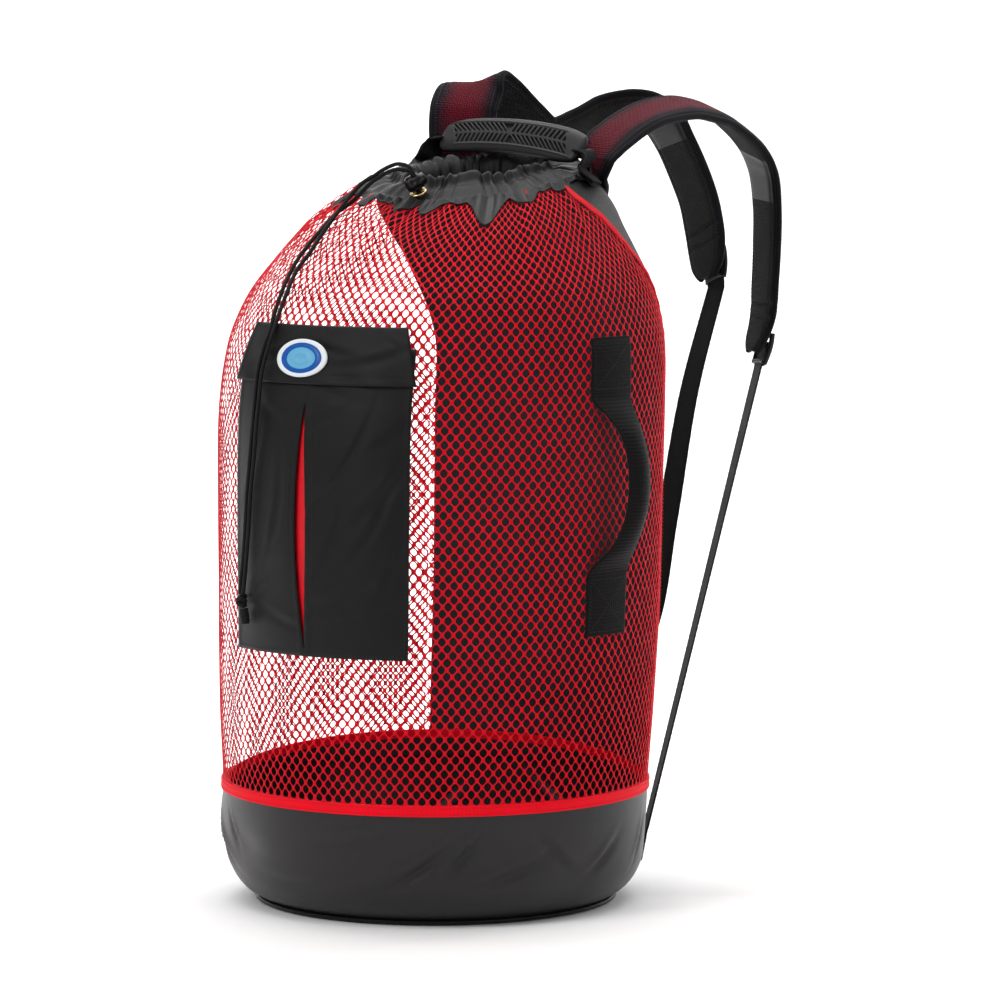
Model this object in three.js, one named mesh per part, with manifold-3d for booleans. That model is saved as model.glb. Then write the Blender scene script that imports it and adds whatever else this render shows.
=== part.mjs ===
// Mesh dive gear bag: a round cloth cup, a tall net body with a cloth back panel,
// a gathered neck with a drawcord, a front pocket, a side handle, a moulded grab
// handle and two padded shoulder straps. Millimetres, +Z up, front towards -Y.
// The origin is the middle of the flat bottom.

import * as THREE from 'three';
import { mergeVertices } from 'three/addons/utils/BufferGeometryUtils.js';
import Module from 'manifold-3d';

const wasm = await Module();
wasm.setup();

const degree = Math.PI / 180;

// Body
const bodyRadius = 198;      // widest radius of the filled bag
const baseRadius = 150;      // edge of the flat bottom
const neckRadius = 97;       // gathered top edge of the net
const neckHeight = 643;      // height of that edge at the middle
const neckLean = 50;         // how far the neck leans to the back
const neckTilt = 19;         // rise of the neck's highest edge over its middle
const tiltAngle = 103 * degree;  // where that edge is highest
const dentDepth = 6;         // deepest soft dent

// Cloth layers
const layerGap = 0.3;        // air between layers sewn to each other
const cupHeight = 108;       // cup, from the floor to its top edge
const cupWall = 2;
const pipingRadius = 2;
const pipingSides = 5;
const trimHeight = 13;
const trimWall = 1.4;
const ringSteps = 30;

// Net
const netWall = 2;
const netBar = 14;
const netColumns = 11;
const netRows = 9;
const netPoint = 0.16;       // how far a gap's pointed end reaches into the next row, in rows
const netSide = 0.6;         // seam between net and panel, along the surface

// Back panel
const panelAngle = 87 * degree;
const panelWall = 1.6;
// Half the panel's angle as a share of half panelAngle, by height as a share of
// neckHeight: it widens into a yoke under the collar
const panelYoke = [
  { height: 0, half: 1 },
  { height: 0.7, half: 1 },
  { height: 0.757, half: 1.02 },
  { height: 0.8, half: 1.08 },
  { height: 0.835, half: 1.17 },
  { height: 0.877, half: 1.32 },
  { height: 0.905, half: 1.47 },
  { height: 0.93, half: 1.62 },
  { height: 0.957, half: 1.79 },
  { height: 0.98, half: 1.93 },
  { height: 1, half: 2.02 },
];

// Neck collar
const collarWall = 1.2;
const collarDrop = 24;       // length of its longest tongue below the net's edge
const collarRise = 7;        // rise of the mouth's edge above the net's edge
const collarSteps = 40;
const ruffleDepth = 5;
const ruffleCount = 13;

// Pocket
const pocketAngle = -82.5 * degree;
const pocketWidth = 186;
const pocketBottom = 236;
const pocketHeight = 266;
const pocketWall = 1.5;
const pocketBulge = 7;
const slitWidth = 9;
const slitHeight = 210;
const slitAngle = -84.5 * degree;
const liningWall = 1;
const liningMargin = 6;
const flapBottom = 470;
const flapHeight = 50;
const flapWall = 1.5;
const flapFlare = 12;        // how much narrower the flap's sewn top is on each side
const badgeAngle = -86 * degree;
const badgeWidth = 54;
const badgeHeight = 32;
const badgeWall = 1.4;

// Side handle
const handleAngle = -1 * degree;
const handleWidth = 50;
const handleWall = 2.4;
const handleBottom = 251;
const handleLength = 258;
const handleBow = 33;

// Grab handle
const gripLength = 168;
const gripWidth = 36;
const gripWall = 11;
const gripArch = 7;
const gripPlace = { x: 2, y: 102, z: 679 };
const gripLean = 37 * degree; // how far its face looks up
const tabWidth = 30;
const tabWall = 2.4;

// Shoulder straps
const strapWidth = 60;
const strapWall = 11;
const strapReach = 256;
const strapRise = 50;
const strapApart = 74;       // from the middle to the foot of each strap
const webbingWidth = 25;
const webbingWall = 1.6;
const buckleWidth = 34;
const buckleHeight = 30;
const buckleWall = 6;

// Drawcord and its lock
const cordDiameter = 3.6;
const cordSides = 8;
const lockRadius = 7.4;
const lockFloor = 1.2;       // closed end of the barrel's bore
const lockRoof = 3.2;        // barrel above its cord hole
const lockSegments = 12;
const plungerRadius = 5.3;
const plungerFoot = 1.6;     // plunger below its cord hole
const plungerProud = 4.5;    // how far the plunger stands out of the barrel
const plungerTravel = 3;
const runningGap = 0.3;
const grommetAngle = -82 * degree;
const grommetRadius = 8;
const grommetHole = 4.6;
const grommetWall = 1.6;
const cordSteps = 49;
const knotRadius = 5.6;
const cordEndLength = 14;
const cordEndRadius = 4.4;

// Cloth, moulded and metal finishes
const finishes = {
  coatedCloth: { color: '#3b3838', roughness: 0.55, metalness: 0 },
  redNet: { color: '#d2142f', roughness: 0.6, metalness: 0 },
  redTape: { color: '#f00a28', roughness: 0.7, metalness: 0 },
  blackNylon: { color: '#1d1b1c', roughness: 0.6, metalness: 0 },
  blackWebbing: { color: '#161415', roughness: 0.8, metalness: 0 },
  badgeBlue: { color: '#1f5fb4', roughness: 0.4, metalness: 0 },
  moulded: { color: '#2c2b2c', roughness: 0.5, metalness: 0 },
  brass: { color: '#c9b070', roughness: 0.3, metalness: 1 },
  cord: { color: '#2a2628', roughness: 0.8, metalness: 0 },
};

// Sections of the body, from the floor to the neck: height as a share of
// neckHeight, radius of bodyRadius, lean of neckLean and tilt of neckTilt.
const bodySections = [
  { height: 0, radius: baseRadius / bodyRadius, lean: 0, tilt: 0 },
  { height: 0.02, radius: 0.866, lean: 0, tilt: 0 },
  { height: 0.048, radius: 0.926, lean: 0, tilt: 0 },
  { height: 0.077, radius: 0.945, lean: 0, tilt: 0 },
  { height: 0.132, radius: 0.957, lean: 0, tilt: 0 },
  { height: 0.177, radius: 0.96, lean: 0, tilt: 0 },
  { height: 0.27, radius: 0.98, lean: 0.03, tilt: 0 },
  { height: 0.41, radius: 0.995, lean: 0.1, tilt: 0 },
  { height: 0.55, radius: 1.003, lean: 0.13, tilt: 0 },
  { height: 0.687, radius: 1.003, lean: 0.18, tilt: 0 },
  { height: 0.77, radius: 0.987, lean: 0.29, tilt: 0 },
  { height: 0.812, radius: 0.955, lean: 0.35, tilt: 0.03 },
  { height: 0.854, radius: 0.9, lean: 0.44, tilt: 0.1 },
  { height: 0.894, radius: 0.815, lean: 0.53, tilt: 0.25 },
  { height: 0.925, radius: 0.745, lean: 0.6, tilt: 0.42 },
  { height: 0.947, radius: 0.695, lean: 0.68, tilt: 0.58 },
  { height: 0.97, radius: 0.62, lean: 0.8, tilt: 0.77 },
  { height: 0.985, radius: 0.56, lean: 0.9, tilt: 0.88 },
  { height: 1, radius: neckRadius / bodyRadius, lean: 1, tilt: 1 },
];

// Soft dents: angle in degrees, height and tall as shares of neckHeight,
// wide in degrees, depth as a share of dentDepth.
const bodyDents = [
  { angle: -138, height: 0.1, wide: 14, tall: 0.05, depth: -0.5 },
  { angle: -112, height: 0.09, wide: 9, tall: 0.02, depth: 0.5 },
  { angle: -34, height: 0.085, wide: 16, tall: 0.03, depth: 0.8 },
  { angle: -8, height: 0.055, wide: 11, tall: 0.03, depth: 0.6 },
  { angle: 60, height: 0.1, wide: 15, tall: 0.04, depth: 0.7 },
  { angle: 150, height: 0.08, wide: 14, tall: 0.035, depth: 0.8 },
  { angle: -146, height: 0.83, wide: 10, tall: 0.05, depth: 0.5 },
  { angle: 90, height: 0.55, wide: 24, tall: 0.16, depth: 1 },
];

// A smooth value of a table's column at a place along its key.
function tableValue(rows, key, column, at) {
  const last = rows.length - 1;
  const slope = (i, k) => (rows[k][column] - rows[i][column]) / (rows[k][key] - rows[i][key]);
  if (at <= rows[0][key]) return rows[0][column];
  if (at >= rows[last][key]) return rows[last][column] + slope(last - 1, last) * (at - rows[last][key]);
  const i = rows.findIndex((row) => row[key] > at) - 1;
  const span = rows[i + 1][key] - rows[i][key];
  const t = (at - rows[i][key]) / span;
  const before = slope(Math.max(i - 1, 0), i + 1);
  const after = slope(i, Math.min(i + 2, last));
  const blend = t * t * (3 - 2 * t);
  return rows[i][column] * (1 - blend) + rows[i + 1][column] * blend
    + span * (before * t * (1 - t) ** 2 - after * t * t * (1 - t));
}

// How far the dents draw the surface in.
function dentAt(angle, height) {
  let depth = 0;
  for (const dent of bodyDents) {
    const turn = Math.atan2(Math.sin(angle - dent.angle * degree), Math.cos(angle - dent.angle * degree));
    const across = turn / (dent.wide * degree);
    const along = (height / neckHeight - dent.height) / dent.tall;
    depth += dent.depth * dentDepth * Math.exp(-(across * across + along * along));
  }
  return depth;
}

function bodySurface(angle, height) {
  const share = height / neckHeight;
  const value = (column) => tableValue(bodySections, 'height', column, share);
  const radius = bodyRadius * value('radius') - dentAt(angle, height);
  const lift = neckTilt * value('tilt') * Math.cos(angle - tiltAngle) * (radius / neckRadius);
  return new THREE.Vector3(
    radius * Math.cos(angle),
    neckLean * value('lean') + radius * Math.sin(angle),
    height + lift,
  );
}

// A point at a distance from the outer face of the body, along its normal.
function bodyPoint(angle, height, offset = 0) {
  const point = bodySurface(angle, height);
  if (offset === 0) return point;
  const turn = 0.01;
  const step = 1;
  const around = bodySurface(angle + turn, height).sub(bodySurface(angle - turn, height));
  const up = bodySurface(angle, height + step).sub(bodySurface(angle, height - step));
  return point.addScaledVector(around.cross(up).normalize(), offset);
}

// Heights between two heights, evenly spaced along the curved wall.
function evenHeights(from, to, count) {
  const samples = 240;
  const lengths = [0];
  for (let i = 1; i <= samples; i += 1) {
    const low = bodySurface(0, from + ((to - from) * (i - 1)) / samples);
    const high = bodySurface(0, from + ((to - from) * i) / samples);
    lengths.push(lengths[i - 1] + low.distanceTo(high));
  }
  const heights = [];
  for (let k = 0; k <= count; k += 1) {
    const wanted = (lengths[samples] * k) / count;
    const i = Math.min(Math.max(lengths.findIndex((length) => length >= wanted), 1), samples);
    const t = (wanted - lengths[i - 1]) / (lengths[i] - lengths[i - 1]);
    heights.push(from + ((to - from) * (i - 1 + t)) / samples);
  }
  return heights;
}

const group = new THREE.Group();

// One named solid from its faces, turned so that they point out.
function addSolid(name, finish, faces) {
  const origin = faces[0][0];
  let volume = 0;
  for (const [a, b, c] of faces) {
    volume += a.clone().sub(origin).dot(b.clone().sub(origin).cross(c.clone().sub(origin)));
  }
  const numbers = [];
  for (const [a, b, c] of faces) {
    for (const corner of volume > 0 ? [a, b, c] : [a, c, b]) numbers.push(corner.x, corner.y, corner.z);
  }
  const geometry = new THREE.BufferGeometry();
  geometry.setAttribute('position', new THREE.Float32BufferAttribute(numbers, 3));
  geometry.computeVertexNormals();
  return addMesh(name, finish, geometry);
}

function addMesh(name, finish, geometry) {
  const mesh = new THREE.Mesh(geometry, new THREE.MeshStandardMaterial(finishes[finish]));
  mesh.name = name;
  group.add(mesh);
  return mesh;
}

// Two triangles, leaving out one that has no area.
function addQuad(faces, a, b, c, d) {
  const same = (p, q) => p.distanceTo(q) < 0.002;
  if (!same(a, b) && !same(b, c) && !same(c, a)) faces.push([a, b, c]);
  if (!same(a, c) && !same(c, d) && !same(d, a)) faces.push([a, c, d]);
}

// A cloth wall on a grid: point(column, row, side) gives the outer face at side 1
// and the inner face at side 0, and open(column, row) leaves a cell out.
function clothFaces({ columns, rows, wrap = false, point, open = () => false }) {
  const faces = [];
  const corner = (i, j, side) => point(wrap ? i % columns : i, j, side);
  const filled = (i, j) => {
    if (j < 0 || j >= rows) return false;
    if (wrap) return !open((i + columns) % columns, j);
    return i >= 0 && i < columns && !open(i, j);
  };
  for (let j = 0; j < rows; j += 1) {
    for (let i = 0; i < columns; i += 1) {
      if (!filled(i, j)) continue;
      const ring = [[i, j], [i + 1, j], [i + 1, j + 1], [i, j + 1]];
      const neighbours = [filled(i, j - 1), filled(i + 1, j), filled(i, j + 1), filled(i - 1, j)];
      const outer = ring.map(([column, row]) => corner(column, row, 1));
      const inner = ring.map(([column, row]) => corner(column, row, 0));
      addQuad(faces, ...outer);
      addQuad(faces, inner[3], inner[2], inner[1], inner[0]);
      for (let k = 0; k < 4; k += 1) {
        if (neighbours[k]) continue;
        const next = (k + 1) % 4;
        addQuad(faces, outer[next], outer[k], inner[k], inner[next]);
      }
    }
  }
  return faces;
}

// A solid through closed sections of as many points each. Point i of a section
// lies across from point n - 1 - i, and the ends are closed by those pairs.
function loftFaces(sections, wrap = false) {
  const faces = [];
  const count = sections[0].length;
  const bands = wrap ? sections.length : sections.length - 1;
  for (let s = 0; s < bands; s += 1) {
    const near = sections[s];
    const far = sections[(s + 1) % sections.length];
    for (let i = 0; i < count; i += 1) {
      const next = (i + 1) % count;
      addQuad(faces, near[i], near[next], far[next], far[i]);
    }
  }
  if (wrap) return faces;
  for (let i = 0; i < count / 2 - 1; i += 1) {
    const first = sections[0];
    const last = sections[sections.length - 1];
    addQuad(faces, first[i + 1], first[i], first[count - 1 - i], first[count - 2 - i]);
    addQuad(faces, last[i], last[i + 1], last[count - 2 - i], last[count - 1 - i]);
  }
  return faces;
}

// Cup with a flat bottom, open at the top
function makeCup() {
  const heights = [0, 0.02, 0.048, 0.09, 0.135].map((share) => share * neckHeight);
  heights.push(trimTop - trimHeight, cupHeight);
  const levels = heights.filter((height) => height <= cupHeight);
  levels.sort((low, high) => low - high);
  const faces = clothFaces({
    columns: ringSteps,
    rows: levels.length,
    wrap: true,
    point: (i, j, side) => {
      const angle = (i / ringSteps) * 2 * Math.PI;
      const floorLevel = side === 1 ? 0 : cupWall;
      if (j === 0) return new THREE.Vector3(0, 0, floorLevel);
      const point = bodyPoint(angle, levels[j - 1], side === 1 ? 0 : -cupWall);
      if (j === 1) point.z = floorLevel;
      return point;
    },
  });
  addSolid('base_cup', 'coatedCloth', faces);
}

// Piping round the edge of the bottom
function makePiping() {
  const seamHeight = pipingRadius * 2 + 1;
  const sections = [];
  for (let i = 0; i < ringSteps; i += 1) {
    const angle = (i / ringSteps) * 2 * Math.PI;
    const centre = bodyPoint(angle, seamHeight, pipingRadius + layerGap);
    const outward = new THREE.Vector3(Math.cos(angle), Math.sin(angle), 0);
    const section = [];
    for (let k = 0; k < pipingSides; k += 1) {
      const turn = ((k + 0.5) / pipingSides) * 2 * Math.PI;
      section.push(centre.clone()
        .addScaledVector(outward, pipingRadius * Math.cos(turn))
        .setZ(centre.z + pipingRadius * Math.sin(turn)));
    }
    sections.push(section);
  }
  addSolid('base_piping', 'blackNylon', loftFaces(sections, true));
}

// Tape folded over the cup's top edge, which the net is sewn to
const trimTop = cupHeight + layerGap + trimWall;
function makeTrim() {
  const low = trimTop - trimHeight;
  const outerFace = layerGap + trimWall;
  const innerFace = -cupWall - layerGap - trimWall;
  const corners = [
    { height: low, offset: outerFace },
    { height: trimTop, offset: outerFace },
    { height: trimTop, offset: innerFace },
    { height: low, offset: innerFace },
    { height: low, offset: innerFace + trimWall },
    { height: cupHeight + layerGap, offset: innerFace + trimWall },
    { height: cupHeight + layerGap, offset: layerGap },
    { height: low, offset: layerGap },
  ];
  const sections = [];
  for (let i = 0; i < ringSteps; i += 1) {
    const angle = (i / ringSteps) * 2 * Math.PI;
    sections.push(corners.map((corner) => {
      const point = bodyPoint(angle, corner.height, corner.offset);
      point.z = corner.height;
      return point;
    }));
  }
  addSolid('base_trim', 'redTape', loftFaces(sections, true));
}

function panelHalf(height) {
  return (panelAngle / 2) * tableValue(panelYoke, 'height', 'half', height / neckHeight);
}

// Net with pointed gaps in staggered rows, from seam to seam round the front
const netBottom = trimTop + layerGap;
function makeNet() {
  const seam = netSide / bodyRadius;
  const lines = evenHeights(netBottom, neckHeight, netRows);
  const halfColumns = netColumns * 2;
  const lineAt = (i, j) => {
    const half = Math.PI - panelHalf(lines[j]) - seam;
    const angle = -Math.PI / 2 + half * (i / netColumns - 1);
    const pitch = lines[Math.min(j + 1, netRows)] - lines[Math.max(j - 1, 0)];
    const flat = j === 0 || j === netRows || i === 0 || i === halfColumns;
    const sway = flat ? 0 : ((i + j) % 2 === 0 ? 1 : -1) * (pitch / 2) * netPoint;
    return { angle, height: lines[j] + sway };
  };
  const faces = [];
  const solid = (spot, side) => bodyPoint(spot.angle, spot.height, side === 1 ? 0 : -netWall);
  const addRing = (cell, hole) => {
    const count = cell.length;
    for (let k = 0; k < count; k += 1) {
      const next = (k + 1) % count;
      addQuad(faces, solid(cell[k], 1), solid(cell[next], 1), solid(hole[next], 1), solid(hole[k], 1));
      addQuad(faces, solid(cell[next], 0), solid(cell[k], 0), solid(hole[k], 0), solid(hole[next], 0));
      addQuad(faces, solid(hole[k], 1), solid(hole[next], 1), solid(hole[next], 0), solid(hole[k], 0));
    }
  };
  const addHalfCell = (cell) => {
    addQuad(faces, ...cell.map((spot) => solid(spot, 1)));
    addQuad(faces, ...[...cell].reverse().map((spot) => solid(spot, 0)));
  };
  for (let j = 0; j < netRows; j += 1) {
    const shifted = j % 2;
    for (let c = 0; c < netColumns - shifted; c += 1) {
      const i = 2 * c + shifted;
      const cell = [
        lineAt(i, j), lineAt(i + 1, j), lineAt(i + 2, j),
        lineAt(i + 2, j + 1), lineAt(i + 1, j + 1), lineAt(i, j + 1),
      ];
      const middle = {
        angle: (cell[1].angle + cell[4].angle) / 2,
        height: (cell[1].height + cell[4].height) / 2,
      };
      const across = solid(cell[0], 1).distanceTo(solid(cell[2], 1));
      const along = solid(cell[0], 1).distanceTo(solid(cell[5], 1));
      const wide = 1 - Math.min(netBar, across / 2) / across;
      const tall = 1 - Math.min(netBar, along / 2) / along;
      const hole = cell.map((spot) => ({
        angle: middle.angle + (spot.angle - middle.angle) * wide,
        height: middle.height + (spot.height - middle.height) * tall,
      }));
      addRing(cell, hole);
    }
    if (shifted) {
      for (const i of [0, halfColumns - 1]) {
        addHalfCell([lineAt(i, j), lineAt(i + 1, j), lineAt(i + 1, j + 1), lineAt(i, j + 1)]);
      }
    }
    for (const i of [0, halfColumns]) {
      addQuad(faces, solid(lineAt(i, j), 1), solid(lineAt(i, j + 1), 1),
        solid(lineAt(i, j + 1), 0), solid(lineAt(i, j), 0));
      if (i === 0) continue;
      faces.splice(-2, 2, ...faces.slice(-2).map(([a, b, c]) => [a, c, b]));
    }
  }
  for (const j of [0, netRows]) {
    for (let i = 0; i < halfColumns; i += 1) {
      const edge = [solid(lineAt(i, j), 1), solid(lineAt(i + 1, j), 1),
        solid(lineAt(i + 1, j), 0), solid(lineAt(i, j), 0)];
      addQuad(faces, ...(j === 0 ? edge.reverse() : edge));
    }
  }
  addSolid('net_body', 'redNet', faces);
}

// Cloth back panel between the net's two side edges; its own edges run straight
// between the net's rows, as the net's edges do
function makeBackPanel() {
  const columns = 10;
  const rows = 2 * netRows;
  const heights = evenHeights(netBottom, neckHeight, rows);
  const faces = clothFaces({
    columns,
    rows,
    point: (i, j, side) => {
      const offset = side === 1 ? 0 : -panelWall;
      const at = (row) => {
        const angle = Math.PI / 2 + panelHalf(heights[row]) * ((2 * i) / columns - 1);
        return bodyPoint(angle, heights[row], offset);
      };
      if (j % 2 === 0 || (i > 0 && i < columns)) return at(j);
      return at(j - 1).lerp(at(j + 1), 0.5);
    },
  });
  addSolid('back_panel', 'blackNylon', faces);
}

// Tongues of the collar's lower edge, between the gathers of the net: angle and
// wide in degrees, drop as a share of collarDrop.
const collarTongues = [
  { angle: -112, wide: 7, drop: 0.35 },
  { angle: -83, wide: 7, drop: 0.4 },
  { angle: -69, wide: 5, drop: 0.5 },
  { angle: -40, wide: 7, drop: 1 },
  { angle: -21, wide: 7, drop: 0.45 },
  { angle: 3, wide: 8, drop: 0.3 },
  { angle: 30, wide: 8, drop: 0.5 },
  { angle: 62, wide: 14, drop: 0.6 },
  { angle: 90, wide: 14, drop: 0.6 },
  { angle: 118, wide: 14, drop: 0.6 },
  { angle: 150, wide: 8, drop: 0.5 },
  { angle: 176, wide: 7, drop: 0.8 },
  { angle: 200, wide: 7, drop: 0.4 },
  { angle: 226, wide: 7, drop: 0.7 },
];

// Sections of the collar above the net's edge: radius as a share of neckRadius,
// rise of collarRise, tilt of neckTilt and ruffle of ruffleDepth.
const collarSections = [
  { radius: 0.93, rise: 0.35, tilt: 0.93, ruffle: 0.1 },
  { radius: 0.8, rise: 0.6, tilt: 0.72, ruffle: 0.4 },
  { radius: 0.7, rise: 0.66, tilt: 0.55, ruffle: 0.8 },
  { radius: 0.66, rise: 1, tilt: 0.48, ruffle: 1 },
];

const collarFace = 2 * layerGap + collarWall;   // outer face over the net's edge

function collarEdge(angle) {
  let drop = 0.12;
  for (const tongue of collarTongues) {
    const turn = Math.atan2(Math.sin(angle - tongue.angle * degree), Math.cos(angle - tongue.angle * degree));
    drop = Math.max(drop, tongue.drop * Math.exp(-((turn / (tongue.wide * degree)) ** 2)));
  }
  return drop * collarDrop;
}

function collarRing(angle, section) {
  const wave = Math.sin(ruffleCount * angle + 0.8 * Math.sin(3 * angle));
  const radius = neckRadius * section.radius + ruffleDepth * section.ruffle * wave;
  const lift = neckTilt * section.tilt * Math.cos(angle - tiltAngle);
  const sway = 0.35 * ruffleDepth * section.ruffle * Math.cos((ruffleCount - 4) * angle);
  return new THREE.Vector3(
    radius * Math.cos(angle),
    neckLean + radius * Math.sin(angle),
    neckHeight + collarRise * section.rise + lift + sway,
  );
}

// Ruffled cloth collar over the gathered edge of the net, open at the mouth
function makeCollar() {
  const low = 3;
  const rows = low + collarSections.length - 1;
  const outer = [];
  for (let i = 0; i < collarSteps; i += 1) {
    const angle = (i / collarSteps) * 2 * Math.PI;
    const column = [];
    for (let j = 0; j < low; j += 1) {
      const height = neckHeight - (collarEdge(angle) * (low - 1 - j)) / (low - 1);
      column.push(bodyPoint(angle, height, collarFace));
    }
    for (const section of collarSections) column.push(collarRing(angle, section));
    outer.push(column);
  }
  const faces = clothFaces({
    columns: collarSteps,
    rows,
    wrap: true,
    point: (i, j, side) => {
      if (side === 1) return outer[i][j];
      const left = outer[(i + collarSteps - 1) % collarSteps][j];
      const right = outer[(i + 1) % collarSteps][j];
      const below = outer[i][Math.max(j - 1, 0)];
      const above = outer[i][Math.min(j + 1, rows)];
      const normal = right.clone().sub(left).cross(above.clone().sub(below)).normalize();
      return outer[i][j].clone().addScaledVector(normal, -collarWall);
    },
  });
  addSolid('neck_collar', 'blackNylon', faces);
}

// A place on the body: across along the wall from an angle, height and offset
function sewnPoint(angle, across, height, offset) {
  return bodyPoint(angle + across / bodyRadius, height, offset);
}

const seat = layerGap + 0.5;   // a sewn layer's inner face over the net's flat facets
const liningFace = seat + liningWall;
const pocketSeat = liningFace + layerGap;
const flapSeat = pocketSeat + pocketWall + layerGap;

// How far the pocket's front stands off its seat, as a share of pocketBulge.
function bulgeAt(across, up) {
  const side = 1 - (2 * across) ** 2;
  return Math.max(side, 0) * Math.sin(Math.PI * Math.min(up * 1.12, 1)) ** 0.8;
}

// Flat lining behind the pocket's slit
function makeLining() {
  const columns = 10;
  const rows = 6;
  const width = pocketWidth - 2 * liningMargin;
  const height = slitHeight + 3 * liningMargin;
  addSolid('pocket_lining', 'redTape', clothFaces({
    columns,
    rows,
    point: (i, j, side) => sewnPoint(
      pocketAngle,
      width * (i / columns - 0.5),
      pocketBottom + liningMargin + (height * j) / rows,
      side === 1 ? liningFace : seat,
    ),
  }));
}

// Pocket front with an open slit
function makePocket() {
  const slitPlace = (slitAngle - pocketAngle) * bodyRadius / pocketWidth;
  const slitTop = (slitHeight + 8) / pocketHeight;
  const slitFoot = 8 / pocketHeight;
  const left = [-0.5, -0.46, -0.36, -0.24, -0.12];
  const right = [0.09, 0.2, 0.31, 0.42, 0.46, 0.5];
  const columns = left.length + right.length + 1;
  const ups = [0, 0.015, slitFoot, 0.12, 0.24, 0.36, 0.48, 0.6, 0.7, slitTop, 0.9, 1];
  const rows = ups.length - 1;
  const place = (i, j) => {
    if (i < left.length) return left[i];
    if (i > left.length + 1) return right[i - left.length - 2];
    const along = Math.min(Math.max((ups[j] - slitFoot) / (slitTop - slitFoot), 0), 1);
    const half = (0.3 + slitWidth * Math.sin(Math.PI * along)) / 2 / pocketWidth;
    return slitPlace + (i === left.length ? -half : half);
  };
  const slitFirst = ups.indexOf(slitFoot);
  const slitLast = ups.indexOf(slitTop);
  addSolid('pocket_body', 'blackNylon', clothFaces({
    columns,
    rows,
    open: (i, j) => i === left.length && j >= slitFirst && j < slitLast,
    point: (i, j, side) => {
      const across = place(i, j);
      const bulge = pocketBulge * bulgeAt(across, ups[j]);
      return sewnPoint(
        pocketAngle,
        pocketWidth * across,
        pocketBottom + pocketHeight * ups[j],
        pocketSeat + bulge + (side === 1 ? pocketWall : 0),
      );
    },
  }));
}

// Flap sewn along its top, wider at its free lower edge
function makeFlap() {
  const columns = 10;
  const rows = 3;
  const lift = 1.2;
  addSolid('pocket_flap', 'blackNylon', clothFaces({
    columns,
    rows,
    point: (i, j, side) => {
      const up = j / rows;
      const across = i / columns - 0.5;
      const height = flapBottom + flapHeight * up;
      const pocketUp = (height - pocketBottom) / pocketHeight;
      const bulge = pocketUp < 1 ? pocketBulge * bulgeAt(across, pocketUp) : 0;
      return sewnPoint(
        pocketAngle,
        (pocketWidth + 6 - 2 * flapFlare * up) * across,
        height,
        flapSeat + bulge + lift * (1 - up) + (side === 1 ? flapWall : 0),
      );
    },
  }));
}

// Plain oval badge on the flap
function makeBadge() {
  const sides = 18;
  const rings = [0, 0.72, 0.88, 1];
  const height = flapBottom + flapHeight * 0.43;
  const faces = clothFaces({
    columns: sides,
    rows: rings.length - 1,
    wrap: true,
    point: (i, j, side) => {
      const turn = (i / sides) * 2 * Math.PI;
      const across = (badgeWidth / 2) * rings[j] * Math.cos(turn);
      const up = (badgeHeight / 2) * rings[j] * Math.sin(turn);
      const raised = j === 2 ? 0.5 : 0;
      const share = (height + up - flapBottom) / flapHeight;
      const place = ((badgeAngle - pocketAngle) * bodyRadius + across) / pocketWidth;
      const pocketUp = (height + up - pocketBottom) / pocketHeight;
      const bulge = pocketUp < 1 ? pocketBulge * bulgeAt(place, pocketUp) : 0;
      const base = flapSeat + flapWall + bulge + 1.2 * (1 - share) + layerGap + 0.4;
      return sewnPoint(badgeAngle, across, height + up, base + (side === 1 ? badgeWall + raised : 0));
    },
  });
  addSolid('pocket_badge', 'badgeBlue', faces);
}

// Side handle, from its lower patch to its upper one: along as a share of
// handleLength, bow of handleBow and wide of handleWidth.
const handleSections = [
  { along: 0, bow: 0, wide: 1 },
  { along: 0.1, bow: 0, wide: 1 },
  { along: 0.205, bow: 0.01, wide: 1 },
  { along: 0.235, bow: 0.12, wide: 0.88 },
  { along: 0.29, bow: 0.46, wide: 0.62 },
  { along: 0.37, bow: 0.8, wide: 0.5 },
  { along: 0.47, bow: 1, wide: 0.48 },
  { along: 0.58, bow: 0.97, wide: 0.48 },
  { along: 0.68, bow: 0.72, wide: 0.52 },
  { along: 0.75, bow: 0.32, wide: 0.7 },
  { along: 0.785, bow: 0.08, wide: 0.9 },
  { along: 0.81, bow: 0.01, wide: 1 },
  { along: 0.9, bow: 0, wide: 1 },
  { along: 1, bow: 0, wide: 1 },
];

function makeSideHandle() {
  const columns = 4;
  addSolid('side_handle', 'blackWebbing', clothFaces({
    columns,
    rows: handleSections.length - 1,
    point: (i, j, side) => {
      const section = handleSections[j];
      const across = handleWidth * section.wide * (i / columns - 0.5);
      const offset = seat + handleBow * section.bow + (side === 1 ? handleWall : 0);
      return sewnPoint(handleAngle, across, handleBottom + handleLength * section.along, offset);
    },
  }));
}

// A direction in the plan, at an angle from +X, turned up by a tilt.
function heading(turn, tilt = 0) {
  return new THREE.Vector3(
    Math.cos(turn) * Math.cos(tilt),
    Math.sin(turn) * Math.cos(tilt),
    Math.sin(tilt),
  );
}

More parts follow.
